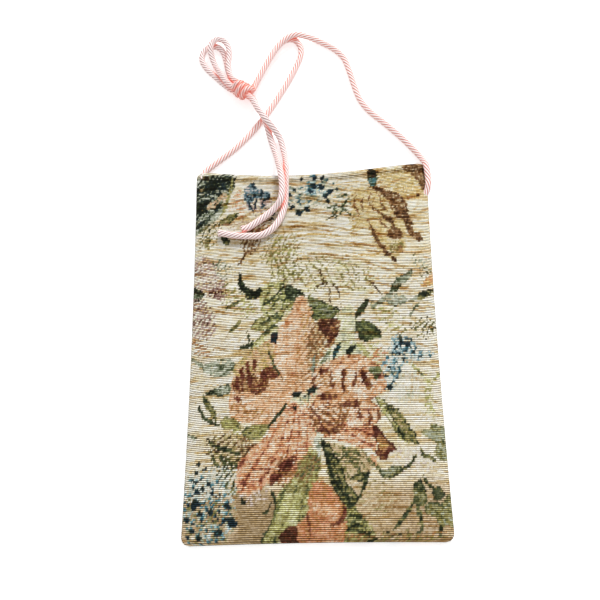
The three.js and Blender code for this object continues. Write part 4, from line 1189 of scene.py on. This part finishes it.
def tapestry_material():
    """Woven thread colours, darker in the gaps between ribs, partly painted shade, and with painted
    highlights where a thread catches the light.
    """
    material, tree, shader = new_material("floral_tapestry")
    shader.inputs["Specular IOR Level"].default_value = CLOTH_SPECULAR
    thread = node(tree, "ShaderNodeAttribute", attribute_name="thread_colour")
    cloth = node(tree, "ShaderNodeUVMap", uv_map="cloth")
    weave = node(tree, "ShaderNodeGroup", node_tree=RIB_WEAVE, values={"Ribs": float(RIBS)})
    tree.links.new(cloth.outputs[0], weave.inputs["Cloth"])
    # Painted highlights: the crests and glints screen the thread colour paler.
    lively = maths(tree, "ADD", maths(tree, "MULTIPLY", weave.outputs["Glint"], LIVELY_SHARE), CREST_SHARE)
    crest = mixed_colour(tree, "SCREEN", lively, thread.outputs["Color"], thread.outputs["Color"])
    grey = node(tree, "ShaderNodeRGBToBW")
    tree.links.new(thread.outputs["Color"], grey.inputs[0])
    glint = maths(tree, "MULTIPLY", weave.outputs["Glint"], GLINT_SHARE)
    glossy = mixed_colour(tree, "SCREEN", glint, crest, grey.outputs[0])
    woven = mixed_colour(tree, "MULTIPLY", weave.outputs["Gap"], glossy, GAP_TINT)
    tree.links.new(woven, shader.inputs["Base Color"])
    gloss = maths(tree, "MULTIPLY", weave.outputs["Glint"], CLOTH_GLOSS)
    tree.links.new(maths(tree, "ADD", gloss, CLOTH_ROUGHNESS), shader.inputs["Roughness"])
    raise_surface(tree, shader, weave.outputs["Height"], BUMP_STRENGTH, BUMP_HEIGHT)
    return material


TAPESTRY = tapestry_material()
bm, across, rise = panel_mesh(FRONT_COLUMNS, RIBS * ROWS_PER_RIB, LIP_ROWS, front_outer, front_inner)
front_panel = add_object("tapestry_front", bm, TAPESTRY)
dye_cloth(front_panel, woven_draft(FRONT_COLUMNS + 1, 0, 0, 1), across, rise)
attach(front_panel, "root")
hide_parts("front_panel")

# Back panel: a second cut of the same tapestry, the size of the front, that lies flat on the table.
# Its edges roll up to the side and bottom seams. The flowers fall elsewhere on it, as on any other cut.
BACK_COLUMNS = 100
BACK_ROWS_PER_RIB = 2
BACK_PATTERN_SHIFT = (38, 96)


def back_outer(across, rise):
    """The outer face, with the gaps between its ribs cut upwards, so that it still rests on the table."""
    places = skin(across, rise, False)
    places[:, 2] += RIB_HEIGHT * (1 - rib_profile(rise))
    return places


def back_inner(across, up):
    return skin(across, up, False, depth=CLOTH, inset=CLOTH)


bm, across, rise = panel_mesh(BACK_COLUMNS, RIBS * BACK_ROWS_PER_RIB, 0, back_outer, back_inner)
back_panel = add_object("tapestry_back", bm, TAPESTRY)
dye_cloth(back_panel, woven_draft(FRONT_COLUMNS + 1, *BACK_PATTERN_SHIFT, -1), across, rise)
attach(back_panel, "root")
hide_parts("back_panel")

# Lining: a thin inner bag of plain cotton, sewn into the turned edge a little below the mouth.
# It is one strip folded at the bottom and closed at both sides.
LINING = 0.0004
LINING_DEPTH = 0.0017
LINING_EASE = 0.002
LINING_DROP = 0.003
LINING_COLUMNS = 60
LINING_ROWS = 90
LINING_THREADS = 420.0
LINING_COLOUR = (0.79, 0.71, 0.55, 1)
LINING_GAP_TINT = (0.6, 0.55, 0.45, 1)
LINING_GAP_SHARE = 0.4
LINING_ROUGHNESS = 0.9
LINING_BUMP = 0.3
LINING_BUMP_HEIGHT = 0.0001
WELD = 1e-6

lining_cloth, tree, shader = new_material("cotton_lining")
shader.inputs["Roughness"].default_value = LINING_ROUGHNESS
weave = node(tree, "ShaderNodeGroup", node_tree=RIB_WEAVE, values={"Ribs": LINING_THREADS})
tree.links.new(node(tree, "ShaderNodeUVMap", uv_map="cloth").outputs[0], weave.inputs["Cloth"])
shade = maths(tree, "MULTIPLY", weave.outputs["Gap"], LINING_GAP_SHARE)
cotton = mixed_colour(tree, "MULTIPLY", shade, LINING_COLOUR, LINING_GAP_TINT)
tree.links.new(cotton, shader.inputs["Base Color"])
raise_surface(tree, shader, weave.outputs["Height"], LINING_BUMP, LINING_BUMP_HEIGHT)

bm = bmesh.new()
bm.loops.layers.uv.new("cloth")
for front in (True, False):
    wall = bmesh.new()
    bmesh.ops.create_grid(wall, x_segments=LINING_COLUMNS, y_segments=LINING_ROWS, size=1, calc_uvs=False)
    wall_uv = wall.loops.layers.uv.new("cloth")
    for face in wall.faces:
        for loop in face.loops:
            loop[wall_uv].uv = (loop.vert.co.xy + Vector((1, 1))) / 2
    across, up = grid_places(wall)
    inset = LINING_DEPTH + LINING_EASE
    places = skin(crowded(across), up, front, LINING_DEPTH, inset, LINING_DROP, rim_gap=0)
    move_verts(wall.verts, places)
    if not front:
        bmesh.ops.reverse_faces(wall, faces=wall.faces)
    take_in(bm, wall)
bmesh.ops.remove_doubles(bm, verts=bm.verts, dist=WELD)
bmesh.ops.solidify(bm, geom=bm.faces[:], thickness=LINING)
lining = add_object("lining_bag", bm, lining_cloth)
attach(lining, "root")
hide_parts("lining")

# Left cord: pink satin cord, three strands of two plies laid left-handed to 5 mm.
# It is sewn into the left corner of the mouth, rises in an arch, turns back, winds once round the knot,
# makes the lower bow loop and ends in a tail.
CORD_DIAMETER = 0.005
PLIES = 6
PLY_RADIUS = 0.00086
PLY_OFFSET = 0.00164
PLY_SIDES = 8
CORD_STEP = 0.0006
ROUTE_STEPS = 24
RUN_LAY = 0.023
TAIL_LAY = 0.020
LAY_CHANGE = 0.02
TAIL_CHANGE = 0.03
PLY_WELD = 1e-7
BOUNCE_REACH = 0.018
BOUNCE_MOST = 0.95
PRESSED_REACH = (0.0056, 0.0030)
PRESSED_SHARE = 0.7
NEIGHBOUR_FROM = 0.015
EDGE_SHARE = 0.6
GROOVE_RANGE = (0.07, 0.22)
SATIN_ROUGHNESS = 0.4
SATIN_GLOW = 0.12
FILAMENTS = 26.0
FILAMENT_SLANT = 3.0
FILAMENT_BUMP = 0.15
FILAMENT_HEIGHT = 0.0001
END_SPREAD = 0.25
END_LENGTH = 0.004
ON_TABLE = 0.00265
ON_CORD = 0.00795
ON_CLOTH = 0.0028
CLOTH_RELIEF = 0.0008
KNOT_MIDDLE = Vector((-0.0528, 0.2125, 0.008))
KNOT_AXIS = Vector((0.819, -0.574, 0))
KNOT_SIDE = Vector((0.574, 0.819, 0))
KNOT_HALF_WIDTH = 0.0047
KNOT_HALF_HEIGHT = 0.0055
KNOT_ADVANCE = 0.0094
CORD_PINK = (1.0, 0.90, 0.885, 1)
CORD_CORAL = (0.70, 0.25, 0.19, 1)
CORD_MAUVE = (0.46, 0.26, 0.26, 1)
CORD_TURNED_SHADE = (0.93, 0.50, 0.43, 1)
CORD_BOUNCE_CORAL = (0.94, 0.22, 0.13, 1)


def knot_point(along, side, up):
    """A point of the knot: along its axis from loops to tails, to its side, and up."""
    return tuple(KNOT_MIDDLE + along * KNOT_AXIS + side * KNOT_SIDE + Vector((0, 0, up)))


def knot_wrap(first_turn, last_turn, along_at_top, count):
    """Points of a cord that winds round the knot, from one angle to another, in degrees. 90 is the top."""
    points = []
    for turn in np.linspace(first_turn, last_turn, count).tolist():
        along = along_at_top - KNOT_ADVANCE * (turn - 90) / 360
        side, up = math.cos(math.radians(turn)), math.sin(math.radians(turn))
        points.append(knot_point(along, KNOT_HALF_WIDTH * side, KNOT_HALF_HEIGHT * up))
    return points


def over_front(x, y):
    """A point of a cord that lies on the front panel."""
    above, below = y + BAG_HEIGHT / 2, BAG_HEIGHT / 2 - y
    crown = float(front_crown(np.float64(x / half_width(above, below)), np.float64(above)))
    return (x, y, SEAM_HEIGHT + (FULL_DEPTH + CLOTH_RELIEF - SEAM_HEIGHT) * crown + ON_CLOTH)


def cord_route(points):
    """An even centreline through the points of a route, and the distance along it."""
    line = smooth_line(points, False, ROUTE_STEPS)
    reached = np.concatenate([[0], np.cumsum(np.linalg.norm(np.diff(line, axis=0), axis=1))])
    distance = np.linspace(0, reached[-1], round(reached[-1] / CORD_STEP) + 1)
    return np.stack([np.interp(distance, reached, line[:, i]) for i in range(3)], -1), distance


def unit(vectors):
    """Vectors of length 1 in the same directions."""
    return vectors / np.linalg.norm(vectors, axis=-1, keepdims=True)


def carried_sides(route):
    """Two directions across a route at each of its points, carried along it without twist."""
    ahead = unit(np.gradient(route, axis=0))
    sides = np.zeros_like(ahead)
    side = np.array([0.0, 0.0, 1.0])
    for i, forward in enumerate(ahead):
        side = side - forward * np.dot(side, forward)
        side = side / np.linalg.norm(side)
        sides[i] = side
    return sides, np.cross(ahead, sides)


def twisted_cord(name, points, run_points, material):
    """A cord of twisted plies along a route. The run of its first points is laid more loosely."""
    route, distance = cord_route(points)
    run_end = cord_route(points[:run_points])[1][-1]
    lay = RUN_LAY + (TAIL_LAY - RUN_LAY) * smooth_step(run_end - LAY_CHANGE, run_end, distance)
    twist = np.concatenate([[0], np.cumsum(2 * math.pi * np.diff(distance) / lay[1:])])
    tail_share = smooth_step(run_end, run_end + TAIL_CHANGE, distance)
    upward, sideways = carried_sides(route)
    from_end = distance[-1] - distance
    spread = PLY_OFFSET * (1 + END_SPREAD * (1 - smooth_step(0, END_LENGTH, from_end)))
    tip = np.clip(np.minimum(distance, from_end) / PLY_RADIUS, 0, 1)
    radius = PLY_RADIUS * np.sqrt(1 - (1 - tip) ** 2)
    bm = bmesh.new()
    for ply in range(PLIES):
        turn = 2 * math.pi * ply / PLIES - twist
        outward = upward * np.cos(turn)[:, None] + sideways * np.sin(turn)[:, None]
        middle = route + outward * spread[:, None]
        ahead = unit(np.gradient(middle, axis=0))
        outward = unit(outward - ahead * (outward * ahead).sum(1, keepdims=True))
        beside = np.cross(ahead, outward)
        tube = bmesh.new()
        bmesh.ops.create_grid(tube, x_segments=PLY_SIDES, y_segments=len(route) - 1, size=1)
        tube_uv = tube.loops.layers.uv.new("ply")
        tube_tail = tube.verts.layers.float.new("tail_share")
        round_share, up = grid_places(tube)
        step = np.rint(up * (len(route) - 1)).astype(int)
        for vert, share in zip(tube.verts, tail_share[step]):
            vert[tube_tail] = share
        for face in tube.faces:
            for loop in face.loops:
                run = distance[step[loop.vert.index]] / CORD_DIAMETER
                loop[tube_uv].uv = ((loop.vert.co.x + 1) / 2, run)
        angle = math.pi * round_share[:, None]
        around = outward[step] * np.cos(angle) + beside[step] * np.sin(angle)
        move_verts(tube.verts, middle[step] + radius[step][:, None] * around)
        bmesh.ops.remove_doubles(tube, verts=tube.verts, dist=PLY_WELD)
        bmesh.ops.recalc_face_normals(tube, faces=tube.faces)
        take_in(bm, tube)
    return add_object(name, bm, material), route, distance[-1]


def mark_pressed_sides(cord, route, strap):
    """Marks the sides of a cord that face another stretch of the strap, where coral bounce light is painted.
    """
    own, whole = KDTree(len(route)), KDTree(len(strap))
    for tree, line in ((own, route), (whole, strap)):
        for i, place in enumerate(line):
            tree.insert(place, i)
        tree.balance()
    apart = NEIGHBOUR_FROM / CORD_STEP
    first = int(np.flatnonzero((strap == route[0]).all(1))[0])
    pressed_shading = np.zeros(len(cord.data.vertices))
    for vert in cord.data.vertices:
        here = own.find(vert.co)[1]
        for _, there, gap in whole.find_range(vert.co, PRESSED_REACH[0]):
            if abs(there - first - here) > apart:
                pressed_shading[vert.index] = max(pressed_shading[vert.index], float(smooth_step(*PRESSED_REACH, gap)))
    cord.data.attributes.new("pressed_shading", "FLOAT", "POINT").data.foreach_set("value", pressed_shading)


def satin_material():
    """Pale pink satin with painted coral shade where it turns away and in its twist lines, mauve in its
    tails, painted coral bounce light in the knot, and a faint painted glow.
    """
    material, tree, shader = new_material("pink_satin")
    shader.inputs["Roughness"].default_value = SATIN_ROUGHNESS
    split = node(tree, "ShaderNodeSeparateXYZ")
    tree.links.new(node(tree, "ShaderNodeUVMap", uv_map="ply").outputs[0], split.inputs[0])
    tail = node(tree, "ShaderNodeAttribute", attribute_name="tail_share").outputs["Fac"]
    # Painted shade: the grooves between the plies are coral in the runs and mauve in the tails.
    inward = maths(tree, "ABSOLUTE", maths(tree, "SUBTRACT", split.outputs["X"], 0.5))
    groove_range = {"From Min": GROOVE_RANGE[0], "From Max": GROOVE_RANGE[1]}
    groove = node(tree, "ShaderNodeMapRange", interpolation_type="SMOOTHSTEP", values=groove_range)
    tree.links.new(inward, groove.inputs["Value"])
    groove_colour = mixed_colour(tree, "MIX", tail, CORD_CORAL, CORD_MAUVE)
    # Painted shade: coral on the sides that turn away from the view.
    turned = node(tree, "ShaderNodeLayerWeight", values={"Blend": 0.5}).outputs["Facing"]
    edge = mixed_colour(tree, "MIX", maths(tree, "MULTIPLY", turned, EDGE_SHARE), CORD_PINK, CORD_TURNED_SHADE)
    striped = mixed_colour(tree, "MIX", groove.outputs[0], edge, groove_colour)
    # Painted coral bounce light in the knot and where the cord presses on another stretch of the strap.
    away = node(tree, "ShaderNodeVectorMath", operation="DISTANCE")
    tree.links.new(node(tree, "ShaderNodeTexCoord").outputs["Object"], away.inputs[0])
    away.inputs[1].default_value = KNOT_MIDDLE
    bounce_range = {"From Min": BOUNCE_REACH, "From Max": BOUNCE_REACH / 2, "To Max": BOUNCE_MOST}
    knot_bounce = node(tree, "ShaderNodeMapRange", values=bounce_range)
    tree.links.new(away.outputs["Value"], knot_bounce.inputs["Value"])
    pressed_shading = node(tree, "ShaderNodeAttribute", attribute_name="pressed_shading").outputs["Fac"]
    knotted = maths(tree, "MULTIPLY", knot_bounce.outputs[0], turned)
    touched = maths(tree, "MULTIPLY", pressed_shading, PRESSED_SHARE)
    satin = mixed_colour(tree, "MIX", maths(tree, "MAXIMUM", knotted, touched), striped, CORD_BOUNCE_CORAL)
    tree.links.new(satin, shader.inputs["Base Color"])
    # Painted glow: a faint emission of the satin's own colour, standing in for light through the satin.
    tree.links.new(satin, shader.inputs["Emission Color"])
    shader.inputs["Emission Strength"].default_value = SATIN_GLOW
    round_ply = maths(tree, "MULTIPLY", split.outputs["X"], FILAMENTS)
    along_ply = maths(tree, "MULTIPLY", split.outputs["Y"], FILAMENT_SLANT)
    slanted = maths(tree, "ADD", round_ply, along_ply)
    filament = maths(tree, "SINE", maths(tree, "MULTIPLY", slanted, 2 * math.pi))
    raise_surface(tree, shader, filament, FILAMENT_BUMP, FILAMENT_HEIGHT)
    return material


SATIN = satin_material()
left_run = [
    (-0.0845, 0.1340, 0.0036), (-0.0825, 0.1412, 0.00325), (-0.0786, 0.1454, 0.00285),
    (-0.0714, 0.1516, ON_TABLE), (-0.0606, 0.1606, ON_TABLE), (-0.0508, 0.1708, ON_TABLE),
    (-0.0424, 0.1812, ON_TABLE), (-0.0324, 0.1960, ON_TABLE), (-0.0239, 0.2109, ON_TABLE),
    (-0.0166, 0.2245, ON_TABLE), (-0.0104, 0.2383, ON_TABLE), (-0.0064, 0.2502, ON_TABLE),
    (-0.0074, 0.2590, ON_TABLE), (-0.0122, 0.2652, ON_TABLE), (-0.0188, 0.2656, ON_TABLE),
    (-0.0254, 0.2598, ON_TABLE), (-0.0330, 0.2464, ON_TABLE), (-0.0402, 0.2308, ON_TABLE),
    (-0.0467, 0.2167, ON_TABLE),
]
left_wrap = knot_wrap(-45, 225, -0.0007, 8)
left_loop = [
    (-0.0610, 0.2150, 0.0053), (-0.0646, 0.2176, 0.0047), (-0.0704, 0.2239, 0.0031),
    (-0.0764, 0.2308, ON_TABLE), (-0.0836, 0.2388, ON_TABLE), (-0.0880, 0.2462, ON_TABLE),
    (-0.0892, 0.2526, ON_TABLE), (-0.0872, 0.2586, ON_TABLE), (-0.0824, 0.2626, ON_TABLE),
    (-0.0768, 0.2620, ON_TABLE), (-0.0724, 0.2580, ON_TABLE), (-0.0700, 0.2526, ON_TABLE),
    (-0.0686, 0.2466, ON_TABLE), (-0.0674, 0.2404, ON_TABLE), (-0.0658, 0.2340, ON_TABLE),
    (-0.0640, 0.2284, 0.0033), (-0.0616, 0.2228, 0.0047), (-0.0582, 0.2196, 0.0053),
]
left_core = [knot_point(-0.003, 0.0003, -0.0019), knot_point(0.003, -0.0008, -0.0024)]
left_tail = [
    (-0.0459, 0.2070, 0.0053), (-0.0440, 0.2038, 0.0056), (-0.0418, 0.1966, 0.0069),
    (-0.0384, 0.1904, ON_CORD), (-0.0356, 0.1846, ON_CORD), (-0.0336, 0.1782, 0.0060),
    (-0.0316, 0.1706, 0.0036), (-0.0289, 0.1610, 0.0029), (-0.0266, 0.1526, 0.0050),
    (-0.0250, 0.1450, 0.0090), (-0.0236, 0.1380, 0.0134), (-0.0223, 0.1310, 0.0166),
    (-0.0211, 0.1221, 0.0178), (-0.0209, 0.1136, 0.0182), (-0.0224, 0.1056, 0.0176),
    (-0.0272, 0.1006, 0.0144), over_front(-0.0341, 0.0953), over_front(-0.0415, 0.0898),
    over_front(-0.0475, 0.0862), over_front(-0.0520, 0.0852),
]
left_points = left_run + left_wrap + left_loop + left_core + left_tail
left_cord, left_route, left_length = twisted_cord("left_cord", left_points, len(left_run), SATIN)
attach(left_cord, "root")
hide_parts("left_cord_run", "left_cord_loop", "left_cord_tail")

# Right cord: the same satin cord, sewn into the right side seam below the mouth.
# It runs up to the arch, crosses over the left cord and winds round the knot.
# Then it makes the upper loop and ends in a tail.
right_run = [
    (0.0858, 0.1128, 0.0026), (0.0879, 0.1162, 0.0046), (0.0891, 0.1210, 0.0067),
    (0.0892, 0.1262, 0.0070), (0.0889, 0.1318, 0.0072), (0.0883, 0.1370, 0.0073),
    (0.0868, 0.1428, 0.0046), (0.0836, 0.1495, ON_TABLE), (0.0718, 0.1649, ON_TABLE),
    (0.0592, 0.1790, ON_TABLE), (0.0476, 0.1912, ON_TABLE), (0.0408, 0.2020, ON_TABLE),
    (0.0368, 0.2144, ON_TABLE), (0.0330, 0.2302, ON_TABLE), (0.0286, 0.2442, ON_TABLE),
    (0.0218, 0.2528, ON_TABLE), (0.0118, 0.2604, ON_TABLE), (0.0006, 0.2656, 0.00425),
    (-0.0098, 0.2668, 0.00715), (-0.0176, 0.2634, ON_CORD), (-0.0242, 0.2565, ON_CORD),
    (-0.0322, 0.2425, ON_CORD), (-0.0394, 0.2270, ON_CORD), (-0.0445, 0.2159, ON_CORD),
]
right_wrap = knot_wrap(15, 450, 0.0040, 13)
right_loop = [
    (-0.0610, 0.2150, 0.0107), (-0.0646, 0.2180, 0.0105), (-0.0694, 0.2256, 0.0089),
    (-0.0730, 0.2332, 0.0066), (-0.0760, 0.2394, 0.0040), (-0.0786, 0.2454, 0.0036),
    (-0.0806, 0.2510, 0.0054), (-0.0814, 0.2566, 0.00765), (-0.0802, 0.2620, ON_CORD),
    (-0.0764, 0.2654, ON_CORD), (-0.0714, 0.2644, ON_CORD), (-0.0674, 0.2596, ON_CORD),
    (-0.0656, 0.2530, ON_CORD), (-0.0654, 0.2464, ON_CORD), (-0.0658, 0.2398, ON_CORD),
    (-0.0650, 0.2330, 0.00815), (-0.0636, 0.2276, 0.00895), (-0.0614, 0.2228, 0.01015),
    (-0.0582, 0.2196, 0.0107),
]
right_core = [knot_point(-0.003, 0.0008, 0.0019), knot_point(0.003, -0.0016, 0.0024)]
right_tail = [
    (-0.0475, 0.2047, 0.0107), (-0.0449, 0.2006, 0.0116), (-0.0416, 0.1936, 0.0129),
    (-0.0382, 0.1874, 0.0135), (-0.0344, 0.1816, 0.0132), (-0.0316, 0.1784, 0.0114),
    (-0.0270, 0.1734, 0.0072), (-0.0242, 0.1696, 0.0044), (-0.0224, 0.1650, 0.0030),
    (-0.0210, 0.1586, 0.0029), (-0.0196, 0.1514, 0.0046), (-0.0188, 0.1440, 0.0084),
    (-0.0185, 0.1375, 0.0119), over_front(-0.0186, 0.1300), over_front(-0.0188, 0.1176),
    over_front(-0.0191, 0.1073), over_front(-0.0206, 0.0989), over_front(-0.0244, 0.0899),
    over_front(-0.0298, 0.0836), over_front(-0.0372, 0.0797), over_front(-0.0474, 0.0795),
    over_front(-0.0563, 0.0806), over_front(-0.0692, 0.0838),
]
right_points = right_run + right_wrap + right_loop + right_core + right_tail
right_cord, right_route, right_length = twisted_cord("right_cord", right_points, len(right_run), SATIN)
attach(right_cord, "root")
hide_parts("right_cord_run", "right_cord_loop", "right_cord_tail", "knot")
strap = np.vstack([left_route, right_route])
mark_pressed_sides(left_cord, left_route, strap)
mark_pressed_sides(right_cord, right_route, strap)

# Stage: a plain white table under soft daylight from above, seen from the foot of the bag at 22 degrees.
CAMERA_PLACE = (0.02557, -0.19368, 0.55634)
CAMERA_TURN = (22.032, 3.806, -0.513)
CAMERA_LENS = 49.44
TABLE_SIZE = 6.0
SKY_LIGHT = 0.66
SUN_LIGHT = 2.4
SUN_SPREAD = 20
SUN_FROM = (0.35, 0.95, 0.85)
TABLE_GLOW = 0.5
TABLE_COLOUR = (0.9, 0.9, 0.9, 1)
TABLE_ROUGHNESS = 0.9
WHITE = (1, 1, 1, 1)
NEAREST_SEEN = 0.01

bm = bmesh.new()
bmesh.ops.create_grid(bm, x_segments=1, y_segments=1, size=TABLE_SIZE)
table_white, tree, shader = new_material("table_white")
shader.inputs["Base Color"].default_value = TABLE_COLOUR
shader.inputs["Roughness"].default_value = TABLE_ROUGHNESS
shader.inputs["Emission Color"].default_value = WHITE
seen = node(tree, "ShaderNodeLightPath").outputs["Is Camera Ray"]
tree.links.new(maths(tree, "MULTIPLY", seen, TABLE_GLOW), shader.inputs["Emission Strength"])
table = add_object("table", bm, table_white)

world = bpy.data.worlds.new("daylight")
bpy.context.scene.world = world
world.use_nodes = True
sky = world.node_tree.nodes["Background"]
sky.inputs["Color"].default_value = WHITE
sky.inputs["Strength"].default_value = SKY_LIGHT

sun = bpy.data.lights.new("window_light", "SUN")
sun.energy = SUN_LIGHT
sun.angle = math.radians(SUN_SPREAD)
sun_object = bpy.data.objects.new("window_light", sun)
sun_object.rotation_euler = Vector(SUN_FROM).to_track_quat("Z", "Y").to_euler()
bpy.context.scene.collection.objects.link(sun_object)

camera = bpy.data.cameras.new("camera")
camera.lens = CAMERA_LENS
camera.clip_start = NEAREST_SEEN
camera_object = bpy.data.objects.new("camera", camera)
camera_object.location = CAMERA_PLACE
camera_object.rotation_euler = [math.radians(angle) for angle in CAMERA_TURN]
bpy.context.scene.collection.objects.link(camera_object)
bpy.context.scene.camera = camera_object
bpy.context.scene.view_settings.view_transform = "Standard"
